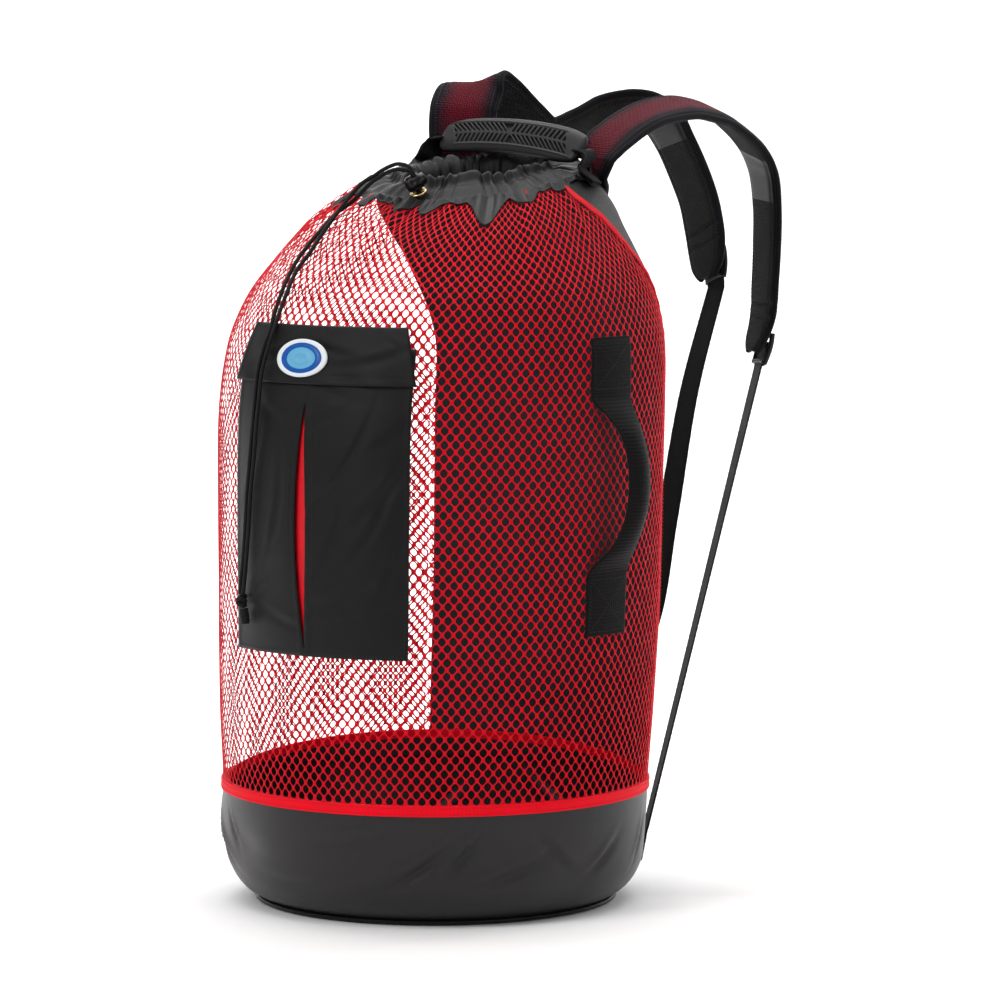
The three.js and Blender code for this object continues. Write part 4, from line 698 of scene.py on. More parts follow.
def makeNet():
    net = {"columns": 96, "rows": 94, "strand": 1.12, "joint": 2.65, "crown": 0.5, "lean": 0.33}
    start = math.pi / 2 + form["panelHalf"] - 2 * math.pi
    pitch = (2 * math.pi - 2 * form["panelHalf"]) / net["columns"]
    lines = evenHeights(trimTop + 0.4, form["neckHeight"], net["rows"])
    local = np.random.default_rng(11)
    shift = local.normal(0, 0.035, (net["rows"] + 1, 2 * net["columns"] + 2))
    # a cell has six corners and a gap of ten: the gap's turns, from its right side round
    turns = np.array([-14, 14, 50, 90, 130, 166, 194, 230, 270, 310]) * degree
    corners = 6 + len(turns)
    cellFaces = [(2, 3, 7, 6), (3, 4, 9, 8), (3, 8, 7), (4, 5, 10, 9), (5, 11, 10), (5, 0, 12, 11),
                 (0, 1, 14, 13), (0, 13, 12), (1, 2, 15, 14), (2, 6, 15)]
    points, faces, uvs = [], [], []
    total = 0
    for j in range(net["rows"]):
        bottom, top = lines[j], lines[j + 1]
        row = top - bottom
        middle = (bottom + top) / 2
        sway = row * net["lean"]
        low = 0 if j == 0 else sway
        high = 0 if j == net["rows"] - 1 else sway
        columns = np.arange(-1, net["columns"] + 1)
        centres = start + pitch * (columns + 0.5 + 0.5 * (j % 2))
        away = np.abs(np.angle(np.exp(1j * (centres - math.pi / 2))))
        centres = centres[away > panelHalf(middle) + pitch * 0.35]
        index = np.round((centres - start) / pitch * 2).astype(int)
        outline = [(-1, bottom + low), (0, bottom - low), (1, bottom + low),
                   (1, top - high), (0, top + high), (-1, top - high)]
        width = np.linalg.norm(bodySurface(pitch, middle) - bodySurface(0, middle))
        length = np.linalg.norm(bodySurface(0, top) - bodySurface(0, bottom))
        joint = min(net["joint"], width * 0.34)
        wide = (width - joint) / 2 / width * pitch
        tall = (length * (0.5 + net["lean"]) - net["strand"] * 0.78) / length * row
        outer, hole = [], []
        for x, h in outline:
            line = j if h < middle else j + 1
            stray = shift[line, np.clip(index + x + 1, 0, shift.shape[1] - 1)]
            angle = centres + (x * 0.5 + stray) * pitch
            height = h + stray * row + 0 * centres
            outer.append(netCorner(angle, height, net["crown"]))
        for turn in turns:
            # a rounded diamond
            reach = (abs(math.cos(turn)) ** 1.45 + abs(math.sin(turn)) ** 1.45) ** (-1 / 1.45)
            angle = centres + math.cos(turn) * reach * wide
            height = middle + math.sin(turn) * reach * tall + 0 * centres
            hole.append(netCorner(angle, height, 0.0))
        block = np.stack(outer + hole, axis=1)
        count = len(centres)
        points.append(block.reshape(-1, 3))
        flat = np.stack([np.repeat(centres[:, None] * 190, corners, 1) + np.arange(corners) * 0.3,
                         np.full((count, corners), middle) + np.arange(corners) * 0.4], axis=-1)
        uvs.append(flat.reshape(-1, 2))
        for first in range(total, total + corners * count, corners):
            faces += [tuple(first + corner for corner in face) for face in cellFaces]
        total += corners * count
    piece = makeObject("netBody", np.concatenate(points), faces, "net", np.concatenate(uvs))
    work = bmesh.new()
    work.from_mesh(piece.data)
    bmesh.ops.remove_doubles(work, verts=work.verts, dist=0.00003)
    work.to_mesh(piece.data)
    work.free()
    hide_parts("net_body")
    # hems of the net at its two side seams, with their stitching
    heights = evenHeights(trimTop + 0.4, form["neckHeight"] - 3, 170)
    for name, sign in (("Right", -1), ("Left", 1)):
        seam = math.pi / 2 + sign * panelHalf(heights)
        across = np.linspace(0.5, -13, 12)
        off = np.array([0.2, 1.0, 1.25, 1.2, 1.05, 1.1, 1.2, 1.1, 1.05, 1.2, 1.15, 0.5])
        spots = seam[:, None] + sign * across[None, :] / form["radius"]
        wave = 0.25 * np.sin(heights / 2.1)[:, None] + pleatAt(spots, heights[:, None]) * 0.4
        grid = bodyPoint(spots, heights[:, None] + 0 * spots, off[None, :] + wave)
        makeGrid("netHem" + name, grid, "net", wall=0.5)
        for k, inset in enumerate((2.5, 9.5)):
            spots = seam + sign * inset / form["radius"]
            path = bodyPoint(spots, heights, 1.45 + pleatAt(spots, heights) * 0.4)
            makeStitches("hemStitch%s%d" % (name, k), path, bodyNormal(spots, heights), "redThread")


def makePanel():
    share = np.linspace(-1, 1, 150)
    heights = evenHeights(trimTop + 0.4, form["neckHeight"], 120)
    height = heights[:, None] + 0 * share[None, :]
    angle = math.pi / 2 + panelHalf(height) * share[None, :] * 0.998
    folds = 0.9 * np.sin(9 * angle + height / 45) * np.clip((height - 300) / 200, 0, 1)
    creases = creaseAt(angle, height, [
        (96, 300, 24, 60, 6, 2.6), (70, 380, -30, 50, 6, 2.4), (112, 210, 14, 60, 6, 2.6),
        (60, 180, -14, 50, 6, 2.2), (120, 420, 40, 50, 6, 2.2), (84, 470, 10, 60, 7, 2.4),
        (66, 270, 36, 44, 5, 2.2), (124, 330, -34, 40, 5, 2.2), (100, 150, -8, 60, 5, 2)])
    edge = np.clip((1 - np.abs(share)) / 0.08, 0, 1)[None, :]
    points = bodyPoint(angle, height, (folds + creases) * edge - 0.1)
    panel = makeGrid("backPanel", points, ["nylon", "panel"], wall=1.4)
    panel.modifiers["wall"].material_offset = 1
    panel.modifiers["wall"].material_offset_rim = 0
    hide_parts("back_panel")


makeNet()
makePanel()
print("stage: net and panel")


# angle, half width in degrees and depth share of the collar's points between the net's gathers
tongues = [(-112, 7, 0.35), (-83, 7, 0.4), (-69, 5, 0.5), (-40, 7, 1), (-21, 7, 0.45), (3, 8, 0.3),
           (30, 8, 0.5), (62, 14, 0.6), (90, 14, 0.6), (118, 14, 0.6), (150, 8, 0.5), (176, 7, 0.8),
           (200, 7, 0.4), (226, 7, 0.7)]


def collarDrop(angle):
    drop = np.full_like(angle, 0.12)
    for place, wide, deep in tongues:
        turn = np.angle(np.exp(1j * (angle - place * degree)))
        drop = np.maximum(drop, deep * np.exp(-(turn / (wide * degree)) ** 2))
    return drop * 24


def ruffleAt(angles):
    # thirty-four uneven folds, sharp in their valleys
    swing = angles + 0.07 * np.sin(5 * angles + 1) + 0.035 * np.sin(11 * angles)
    folds = 2 * np.abs(np.sin(17 * swing)) ** 0.75 - 1.2
    return folds * (0.8 + 0.3 * np.sin(3 * angles + 0.5)) + 0.35 * np.sin(47 * swing + 2 * np.sin(6 * angles))


def makeCollar():
    columns = 760
    angles = np.linspace(0, 2 * math.pi, columns, endpoint=False)
    ruffle = ruffleAt(angles)
    shifted = ruffleAt(angles + 0.045)
    rows = []
    for share in np.linspace(0, 1, 14):
        height = form["neckHeight"] - collarDrop(angles) * (1 - share)
        fold = ruffle * (0.5 + 1.9 * share) + pleatAt(angles, height) * 0.8
        rows.append(bodyPoint(angles, height, 1.8 + np.maximum(fold, -1.2)))
    # radius, rise, tilt and ruffle shares of the rings above the net's edge
    rings = [(0.945, 0.2, 0.97, 0.35), (0.92, 0.32, 0.93, 0.5), (0.885, 0.45, 0.85, 0.6),
             (0.845, 0.56, 0.78, 0.7), (0.81, 0.6, 0.73, 0.75), (0.78, 0.5, 0.68, 0.85),
             (0.755, 0.4, 0.64, 0.95), (0.735, 0.42, 0.6, 1.0), (0.715, 0.6, 0.56, 1.1),
             (0.695, 0.95, 0.52, 1.2), (0.675, 1.2, 0.49, 1.25), (0.65, 1.25, 0.48, 1.25),
             (0.625, 1.0, 0.48, 1.2), (0.6, 0.6, 0.48, 1.1), (0.575, 0.2, 0.49, 1.0),
             (0.555, -0.5, 0.5, 0.9), (0.545, -1.6, 0.52, 0.8), (0.55, -3.0, 0.55, 0.6)]
    wave = np.sin(9 * angles + 0.8 * np.sin(3 * angles))
    # the far side is bunched higher, up to the grip, and the near side a little too
    hump = np.exp(-((angles - math.pi / 2) / 0.75) ** 2)
    near = np.clip(np.cos(angles + 48 * degree), 0, 1)
    for radius, rise, tilt, amount in rings:
        mix = 0.6 * ruffle + 0.4 * shifted if radius > 0.7 else 0.25 * ruffle + 0.75 * shifted
        reach = form["neckRadius"] * radius + amount * (2.6 * mix + 1.6 * wave)
        lift = form["neckTilt"] * tilt * np.cos(angles - form["tiltAngle"])
        sway = amount * (1.5 * np.cos(7 * angles) + 1.7 * shifted)
        sway += (4.2 * hump + 4.6 * near) * np.clip((0.9 - radius) / 0.2, 0, 1)
        rows.append(np.stack([reach * np.cos(angles), form["neckLean"] + reach * np.sin(angles),
                              form["neckHeight"] + 7 * rise + lift + sway], axis=1))
    collar = makeGrid("neckCollar", np.array(rows), "nylon", wrap=True, wall=0.9)
    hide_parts("neck_collar")


makeCollar()
print("stage: collar")


pocket = {"angle": -82.5 * degree, "width": 186, "bottom": 236, "height": 266, "bulge": 7, "seat": 2.1,
          "slit": (-83.5 + 82.5) * degree * 198 / 186, "slitFoot": 8, "slitHeight": 210, "slitWidth": 11,
          "flapBottom": 470, "flapHeight": 50, "flapFlare": 12}


def bulgeAt(across, up):
    side = np.maximum(1 - (2 * across) ** 2, 0)
    return side * np.sin(math.pi * np.clip(up * 1.12, 0, 1)) ** 0.8


def pocketHem(across):
    # folded hems at the sides and along the slit
    away = np.abs(across - pocket["slit"]) * pocket["width"]
    side = 0.5 * np.exp(-((np.abs(across) * pocket["width"] - 91) / 2.2) ** 2)
    return side + 0.6 * np.exp(-((away - 3) / 3) ** 2)


# angle, height, slant in degrees, long and wide in mm, depth
pocketCreases = [
    (24, 150, 52, 46, 5, 1.6), (20, 120, 64, 40, 4, 1.3), (27, 200, 40, 30, 5, 1.4), (14, 60, 30, 40, 5, 1.1),
    (-14, 210, -30, 22, 5, 1.2), (-16, 60, 40, 30, 5, 1.0), (10, 225, -12, 40, 4, 1.3),
    (12, 170, 58, 50, 3.4, 1.2), (8, 100, 66, 36, 3.4, 1.0), (18, 36, 18, 34, 3.4, 1.0),
    (-9, 120, 78, 40, 3.6, 0.9), (-19, 160, 70, 30, 3.2, 0.9), (25, 90, 74, 36, 3.6, 1.1),
    (5, 205, 24, 26, 3.4, 1.0), (-8, 30, -20, 24, 3.4, 0.9)]
flapCreases = [(-14, 22, 20, 26, 4, 1.1), (4, 30, -16, 24, 3.6, 1.1), (17, 20, 12, 26, 4, 1.2),
               (24, 34, -30, 14, 3, 0.9)]


def makePocket():
    width, height, slit = pocket["width"], pocket["height"], pocket["slit"]
    front = pocket["seat"] + 1.5
    footShare = pocket["slitFoot"] / height
    topShare = (pocket["slitHeight"] + pocket["slitFoot"]) / height
    left = np.linspace(-0.5, slit, 34)[:-1]
    right = np.linspace(slit, 0.5, 40)[1:]
    ups = np.concatenate([np.linspace(0, footShare, 4)[:-1], np.linspace(footShare, topShare, 61),
                          np.linspace(topShare, 1, 14)[1:]])
    along = np.clip((ups - footShare) / (topShare - footShare), 0, 1)
    half = (0.15 + pocket["slitWidth"] / 2 * np.sin(math.pi * along)) / width
    rows = []
    for gap in half:
        leftRow = -0.5 + (left + 0.5) * (slit - gap + 0.5) / (left[-1] + 0.5)
        rightRow = 0.5 - (0.5 - right) * (0.5 - slit - gap) / (0.5 - right[0])
        rows.append(np.concatenate([leftRow, rightRow]))
    across = np.array(rows)
    up = np.broadcast_to(ups[:, None], across.shape)
    bulge = bulgeAt(across, up)
    wrinkle = 1.5 * creaseAt(across * width / 190, up * height, pocketCreases)
    offset = front + pocket["bulge"] * bulge + pocketHem(across) - wrinkle * bulge ** 0.5
    points = sewnPoint(pocket["angle"], across * width, pocket["bottom"] + height * up, offset)
    cut = len(left) - 1
    first = int(np.argmin(np.abs(ups - footShare)))
    final = int(np.argmin(np.abs(ups - topShare)))
    piece = makeGrid("pocketBody", points, "nylon", skip=lambda i, j: i == cut and first <= j < final,
                     wall=1.3)
    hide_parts("pocket_body")

    # red lining behind the slit, close behind it
    lining = {"width": width - 12, "low": pocket["bottom"] + 6, "high": 228, "seat": 1.8}
    x, y = np.meshgrid(np.linspace(-0.5, 0.5, 110), np.linspace(0, 1, 60))
    near = np.exp(-((x * lining["width"] - slit * width) / 13) ** 2)
    climb = (pocket["bulge"] * bulgeAt(x, y * lining["high"] / height) - 0.9) * near
    points = sewnPoint(pocket["angle"], x * lining["width"], lining["low"] + lining["high"] * y,
                       lining["seat"] + np.maximum(climb, 0) + 0.25 * np.sin(x * 30 + y * 9))
    piece = makeGrid("pocketLining", points, "lining", wall=0.9)
    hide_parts("pocket_lining")

    # stitch rows round the edge and beside the slit
    margin, count = 3.2, 90
    steps = np.linspace(0.01, 0.99, count)
    beside = (7 + pocket["slitWidth"] / 2 * np.sin(math.pi * steps)) / width
    climbs = footShare + (topShare - footShare) * steps
    for name, across, up in (("pocketStitchLeft", np.full(count, -0.5 + margin / width), steps),
                             ("pocketStitchRight", np.full(count, 0.5 - margin / width), steps),
                             ("pocketStitchFoot", np.linspace(-0.48, 0.48, count),
                              np.full(count, margin / height)),
                             ("slitStitchLeft", slit - beside, climbs),
                             ("slitStitchRight", slit + beside, climbs)):
        high = pocket["bottom"] + height * up
        lift = front + pocket["bulge"] * bulgeAt(across, up) + pocketHem(across) + 0.1
        path = sewnPoint(pocket["angle"], across * width, high, lift)
        normals = bodyNormal(pocket["angle"] + across * width / form["radius"], high)
        makeStitches(name, path, normals, "thread")


def flapPoint(across, up, extra=0.0):
    height = pocket["flapBottom"] + pocket["flapHeight"] * up
    pocketUp = (height - pocket["bottom"]) / pocket["height"]
    bulge = np.where(pocketUp < 1, pocket["bulge"] * bulgeAt(across, pocketUp), 0)
    offset = 3.9 + bulge + 1.2 * (1 - up) + 1.5 + extra
    width = pocket["width"] + 6 - 2 * pocket["flapFlare"] * up
    return sewnPoint(pocket["angle"], width * across, height, offset)


def makeFlap():
    x, y = np.meshgrid(np.linspace(-0.5, 0.5, 90), np.linspace(0, 1, 30))
    hem = (0.45 * np.exp(-((y * pocket["flapHeight"] - 2.5) / 2.5) ** 2)
           + 0.4 * np.exp(-(((0.5 - np.abs(x)) * 190 - 2) / 2.5) ** 2))
    folds = (0.7 * np.sin(x * 24 + y * 5) * (1 - y)
             - 1.2 * creaseAt(x * pocket["width"] / 190, y * pocket["flapHeight"], flapCreases))
    piece = makeGrid("pocketFlap", flapPoint(x, y, hem + folds), "nylon", wall=1.4)
    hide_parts("pocket_flap")
    for k, level in enumerate((0.1, 0.2, 0.93)):
        across = np.linspace(-0.485, 0.485, 100)
        ups = np.full(100, level)
        width = pocket["width"] + 6 - 2 * pocket["flapFlare"] * level
        normals = bodyNormal(pocket["angle"] + across * width / form["radius"],
                             pocket["flapBottom"] + pocket["flapHeight"] * ups)
        makeStitches("flapStitches%d" % k, flapPoint(across, ups, 0.5), normals, "thread")


def makeBadge():
    badge = {"angle": -86 * degree, "width": 54, "height": 32, "base": 6.4}
    middle = pocket["flapBottom"] + pocket["flapHeight"] * 0.43
    # share of the radius, height in mm and material of each ring
    rings = [(0.01, 1.5, 2), (0.2, 1.5, 2), (0.24, 1.9, 2), (0.3, 1.9, 2), (0.34, 1.5, 2), (0.56, 1.5, 2),
             (0.6, 1.9, 1), (0.66, 1.9, 1), (0.7, 1.6, 1), (0.8, 1.6, 1), (0.84, 2.0, 0), (0.95, 2.1, 0),
             (0.99, 1.7, 0), (1.0, 0.4, 0), (0.98, 0.1, 0)]
    sides = 96
    turns = np.arange(sides) / sides * 2 * math.pi
    points = []
    for share, high, _ in rings:
        across = badge["width"] / 2 * share * np.cos(turns)
        up = badge["height"] / 2 * share * np.sin(turns)
        place = ((badge["angle"] - pocket["angle"]) * form["radius"] + across) / pocket["width"]
        flapUp = (middle + up - pocket["flapBottom"]) / pocket["flapHeight"]
        pocketUp = (middle + up - pocket["bottom"]) / pocket["height"]
        bulge = np.where(pocketUp < 1, pocket["bulge"] * bulgeAt(place, pocketUp), 0)
        base = 3.9 + bulge + 1.2 * (1 - flapUp) + 1.5 + 0.5
        points.append(sewnPoint(badge["angle"], across, middle + up, base + high))
    points = np.array(points)
    piece = makeObject("pocketBadge", points, gridFaces(len(rings), sides, True),
                       ["badgeRim", "badgeRing", "badgeMiddle"], gridUvs(points))
    for face in piece.data.polygons:
        face.material_index = rings[min(face.index // sides + 1, len(rings) - 1)][2]
    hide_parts("pocket_badge")


makePocket()
makeFlap()
makeBadge()
print("stage: pocket")


handleRows = np.array([
    (0, 0, 1), (0.1, 0, 1), (0.205, 0.01, 1), (0.235, 0.12, 0.88), (0.29, 0.46, 0.62), (0.37, 0.8, 0.5),
    (0.47, 1, 0.48), (0.58, 0.97, 0.48), (0.68, 0.72, 0.52), (0.75, 0.32, 0.7), (0.785, 0.08, 0.9),
    (0.81, 0.01, 1), (0.9, 0, 1), (1, 0, 1)])


def makeSideHandle():
    handle = {"angle": -1 * degree, "width": 50, "bottom": 251, "length": 258, "bow": 33, "seat": 0.8}
    along = np.linspace(0, 1, 400)
    bow = tableValue(handleRows[:, 0], handleRows[:, 1], along)
    wide = tableValue(handleRows[:, 0], handleRows[:, 2], along)
    across = np.linspace(-0.5, 0.5, 40)
    x = across[None, :] * handle["width"] * wide[:, None]
    rib = 0.3 * np.sin(along * handle["length"] / 3.1 * 2 * math.pi)[:, None]
    rib = rib * (np.abs(across) < 0.46)[None, :]
    fold = 1 - np.clip((wide - 0.48) / 0.5, 0, 1)
    roll = fold[:, None] * 5 * (1 - (2 * np.abs(across)[None, :]) ** 2)
    offset = handle["seat"] + handle["bow"] * bow[:, None] + rib + roll + 1.9 + 0 * x
    height = handle["bottom"] + handle["length"] * along[:, None] + 0 * x
    piece = makeGrid("sideHandle", sewnPoint(handle["angle"], x, height, offset), "webbing", wall=2.2)
    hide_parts("side_handle")
    for part, low, high in (("Low", 0.015, 0.19), ("High", 0.83, 0.985)):
        for k, (a, b) in enumerate((((-0.45, low), (0.45, low)), ((0.45, low), (0.45, high)),
                                    ((0.45, high), (-0.45, high)), ((-0.45, high), (-0.45, low)),
                                    ((-0.45, low), (0.45, high)), ((0.45, low), (-0.45, high)))):
            t = np.linspace(0, 1, 40)
            xs = (a[0] + (b[0] - a[0]) * t) * handle["width"]
            hs = handle["bottom"] + handle["length"] * (a[1] + (b[1] - a[1]) * t)
            path = sewnPoint(handle["angle"], xs, hs, np.full(40, 3.15))
            normals = bodyNormal(handle["angle"] + xs / form["radius"], hs)
            makeStitches("handleStitch%s%d" % (part, k), path, normals, "thread")


makeSideHandle()
print("stage: side handle")


def heading(turn, tilt=0.0):
    return np.array([math.cos(turn) * math.cos(tilt), math.sin(turn) * math.cos(tilt), math.sin(tilt)])


def smoothTable(rows, count):
    rows = np.asarray(rows, float)
    places = np.linspace(0, 1, len(rows))
    at = np.linspace(0, 1, count + 1)
    return np.stack([tableValue(places, rows[:, k], at) for k in range(rows.shape[1])], axis=1)


# side, back, up, turn, tilt, wide, thick
rightStrap = [
    (0.892, 0.021, -0.243, -29, -27, 0.9, 0.4), (0.946, 0.057, 0.195, -28, -22, 1, 0.8),
    (0.986, 0.136, 0.512, -29, -17, 1, 1), (1.03, 0.28, 0.83, -29, -14, 1, 1),
    (1.054, 0.448, 0.971, -29, -14, 1, 1), (1.081, 0.571, 0.928, -31, -12, 1, 1),
    (1.095, 0.692, 0.755, -30, -8, 1, 1), (1.112, 0.84, 0.3, -29, -4, 1, 1),
    (1.122, 0.921, -0.225, -29, -1, 1, 1), (1.122, 0.947, -0.9, -29, 0, 0.98, 1),
    (1.122, 0.947, -1.6, -29, 0, 0.95, 1), (1.115, 0.94, -2.3, -29, 0, 0.92, 0.95),
    (1.105, 0.93, -2.95, -29, 0, 0.86, 0.9), (1.045, 0.895, -3.58, -29, 0, 0.62, 0.7)]
leftStrap = [
    (-1.07, -0.01, 0.1, 42, 0, 0.9, 0.4), (-1.1, 0, 0.5, 42, 0, 1, 0.8), (-1.16, 0.03, 1, 42, 0, 1, 1),
    (-1.26, 0.12, 1.34, 42, 8, 1, 1), (-1.25, 0.21, 1.12, 38, 24, 1, 1), (-1.2, 0.33, 0.62, 26, 44, 1, 1),
    (-1.18, 0.45, 0.24, 18, 58, 1, 1), (-1.169, 0.594, 0.348, 10, 66, 1, 1),
    (-1.149, 0.734, 0.62, 8, 62, 1, 1), (-1.045, 0.848, 0.784, 2, 50, 1, 1),
    (-0.858, 0.922, 0.839, -8, 34, 1, 1), (-0.698, 0.977, 0.686, -15, 20, 1, 1),
    (-0.604, 1.02, 0.306, -17, 14, 1, 1), (-0.48, 1.047, -0.187, -16, 10, 1, 1),
    (-0.319, 1.055, -0.734, -16, 7, 0.98, 1), (-0.196, 1.047, -1.222, -15, 4, 0.95, 1),
    (-0.074, 1.027, -1.726, -15, 2, 0.88, 0.95), (0.03, 0.996, -2.262, -15, 0, 0.62, 0.7)]
strap = {"width": 60, "wall": 11, "reach": 256, "rise": 50, "apart": 74, "footBack": 128, "footUp": 655}


def stripFrame(points, across):
    travel = np.gradient(points, axis=0)
    travel /= np.linalg.norm(travel, axis=1, keepdims=True)
    outward = np.cross(across, travel)
    outward /= np.linalg.norm(outward, axis=1, keepdims=True)
    return travel, outward, np.cross(travel, outward)


def strapPoints(table):
    return np.stack([strap["apart"] * table[:, 0], strap["footBack"] + strap["reach"] * table[:, 1],
                     strap["footUp"] + strap["rise"] * table[:, 2]], axis=1)


def flatSection(sides, wideRound, highRound):
    # a flat section with rounded edges: shares across and through, and which face
    turns = np.linspace(0, 2 * math.pi, sides, endpoint=False)
    cos, sin = np.cos(turns), np.sin(turns)
    return np.sign(cos) * np.abs(cos) ** wideRound, np.sign(sin) * np.abs(sin) ** highRound, np.sign(sin)


def makeStrap(side, rows, count, foot, smooth):
    table = smoothTable(rows, count)
    points = strapPoints(table)
    across = np.array([heading(row[3] * degree, row[4] * degree) for row in table])
    seat = bodyPoint(foot["angle"] * degree, 643 * foot["height"], 1.8 + foot["off"])
    ease = np.clip(1 - np.arange(count + 1) / (count / 20), 0, 1)[:, None]
    points = points + (seat - points[0]) * ease
    across = across * (1 - ease) + heading(foot["turn"] * degree, foot["tilt"] * degree) * ease
    travel, outward, width = stripFrame(points, across)
    lengths = pathLengths(points)
    left = lengths[-1] - lengths
    half = strap["width"] * table[:, 5] / 2
    # the tip is rounded, with two stitched grooves across it
    tip = np.sqrt(np.clip(1 - ((np.clip(16 - left, 0, 16) / 16) ** 2) * 0.62, 0.05, 1))
    half = half * tip
    groove = 1 - 0.45 * np.exp(-((left - 46) / 2.2) ** 2) - 0.35 * np.exp(-((left - 32) / 2.2) ** 2)
    puff = 1 + 0.03 * np.sin(lengths / 9) + 0.04 * np.sin(lengths / 23 + 1)
    thick = strap["wall"] * table[:, 6] / 2 * groove * puff
    # section: a soft pad between two bound edges
    wide, high, facing = flatSection(64, 0.35, 0.75)
    pinch = 1 - 0.6 * np.exp(-((1 - np.abs(wide)) / 0.1) ** 2)
    channel = 1 - 0.2 * np.exp(-((np.abs(wide) - 0.76) / 0.05) ** 2)
    spread = wide * 30
    knit = 0.16 * np.sin(lengths[:, None] * 2.05) * np.cos(spread[None, :] * 1.9) * (np.abs(wide) < 0.8)
    grid = (points[:, None] + width[:, None] * wide[None, :, None] * half[:, None, None]
            + outward[:, None] * ((high * pinch * channel)[None, :] * thick[:, None]
                                  + facing[None, :] * knit)[..., None])
    uvs = np.stack(np.broadcast_arrays(spread[None, :], lengths[:, None]), axis=-1)
    faces = closedFaces(len(points), len(wide))
    pad = makeObject("strapPad" + side, grid, faces, ["redSpacer", "spacer", "binding", "nylon"], uvs)
    for face in pad.data.polygons:
        i = face.index % len(wide)
        if abs(wide[i]) > 0.88 or face.index >= len(faces) - 2:
            face.material_index = 2
        elif facing[i] > 0:
            face.material_index = 0
        else:
            patch = smooth[0] < face.index // len(wide) / count < smooth[1]
            face.material_index = 3 if patch else 1
    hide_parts("strap_pad_" + side.lower())
    for k, sign in enumerate((-1, 1)):
        line = points + width * (sign * (half - 1.9))[:, None]
        makeTube("strapBinding%s%d" % (side, k), line, np.minimum(2.9, thick * 0.85), "binding", 14)
        for face, direction in (("Out", 1), ("In", -1)):
            path = (points + width * (sign * (half - 5.6))[:, None]
                    + outward * (direction * thick * 0.9)[:, None])
            makeStitches("strapStitch%s%s%d" % (side, face, k), path[3:-6], (outward * direction)[3:-6],
                         "thread")
    return {"point": points[-1], "across": across[-1] / np.linalg.norm(across[-1])}


def makeStrip(name, node, points, across, half, wall, rib=2.1, sides=30):
    # flat webbing: two ribbed faces between rounded selvedges
    travel, outward, width = stripFrame(points, across)
    wide, high, facing = flatSection(sides, 0.3, 0.5)
    lengths = pathLengths(points)
    twill = 0.14 * np.sin(2 * math.pi * (lengths[:, None] + np.abs(wide[None, :]) * half * 0.5) / rib)
    raised = 1 + 0.25 * np.exp(-((np.abs(wide) - 0.86) / 0.06) ** 2)
    grid = (points[:, None] + width[:, None] * wide[None, :, None] * half
            + outward[:, None] * ((high * raised)[None, :] * wall / 2 + facing[None, :] * twill)[..., None])
    uvs = np.stack(np.broadcast_arrays((wide * half)[None, :], lengths[:, None]), axis=-1)
    piece = makeObject(name, grid, closedFaces(len(points), sides), "webbing", uvs)
    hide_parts(node)
    return outward, width


# share of the way, off it: side of the straps' gap, back and up of their reach
webbings = {
    "right": [(0, 0, 0, 0), (0.5, 0, 0, 0), (1, 0, 0, 0)],
    "left": [(0, 0, 0, 0), (0.12, 0.01, 0.035, -0.17), (0.28, 0.14, 0.13, -0.33), (0.46, 0.3, 0.24, -0.41),
             (0.64, 0.28, 0.24, -0.36), (0.82, 0.2, 0.14, -0.2), (1, 0, 0, 0)],
}


def makeBuckle(side, last, rows, back, lap):
    # ladder lock: two rails, three bars and a thumb wing, moulded in one
    stations, station = back
    row = smoothTable(rows, stations)[station:station + 1]
    travel = last["point"] - strapPoints(row)[0]
    travel /= np.linalg.norm(travel)
    outward = np.cross(last["across"], travel)
    outward /= np.linalg.norm(outward)
    across = np.cross(travel, outward)
    place = last["point"] - travel * lap + outward * (strap["wall"] * row[0, 6] / 2 + 3.9)
    height, half, sides = 30, 17, 14

    def pointAt(wide, high, out):
        return place + across * wide[..., None] + travel * high[..., None] + outward * out[..., None]

    along = np.linspace(0, 1, 24)
    for sign, mark in ((-1, "A"), (1, "B")):
        path = pointAt(sign * (half - 2.3 - 2.2 * along ** 2), along * height, 1.1 * np.sin(math.pi * along))
        makeTube("buckleRail" + side + mark, path, 2.3 + 0.25 * np.sin(math.pi * along), "moulded", sides)
    # height, stand-off, radius and half length of each bar
    bars = [(2.6, -0.6, 2.5, 14.6), (15, 1.4, 2.1, 13.6), (27.2, -0.4, 2.4, 12.6)]
    span = np.linspace(-1, 1, 16)
    for k, (high, out, radius, reach) in enumerate(bars):
        path = pointAt(span * reach, high + 0.8 * span ** 2, out + 0.5 * (1 - span ** 2))
        bar = makeTube("buckleBar%s%d" % (side, k), path, radius, "moulded", sides,
                       squash=0.8)
        if k == 0:
            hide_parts("strap_buckle_" + side.lower())
    u, v = np.meshgrid(np.linspace(-1, 1, 24), np.linspace(0, 1, 10))
    wing = pointAt(u * (10.5 - 3 * v ** 2), 24.6 + 6.4 * v, 1.2 + 2.6 * v - 0.6 * u * u)
    makeGrid("buckleWing" + side, wing, "moulded", wall=1.6)
    return place + travel * (height + 0.6), travel, last["across"]


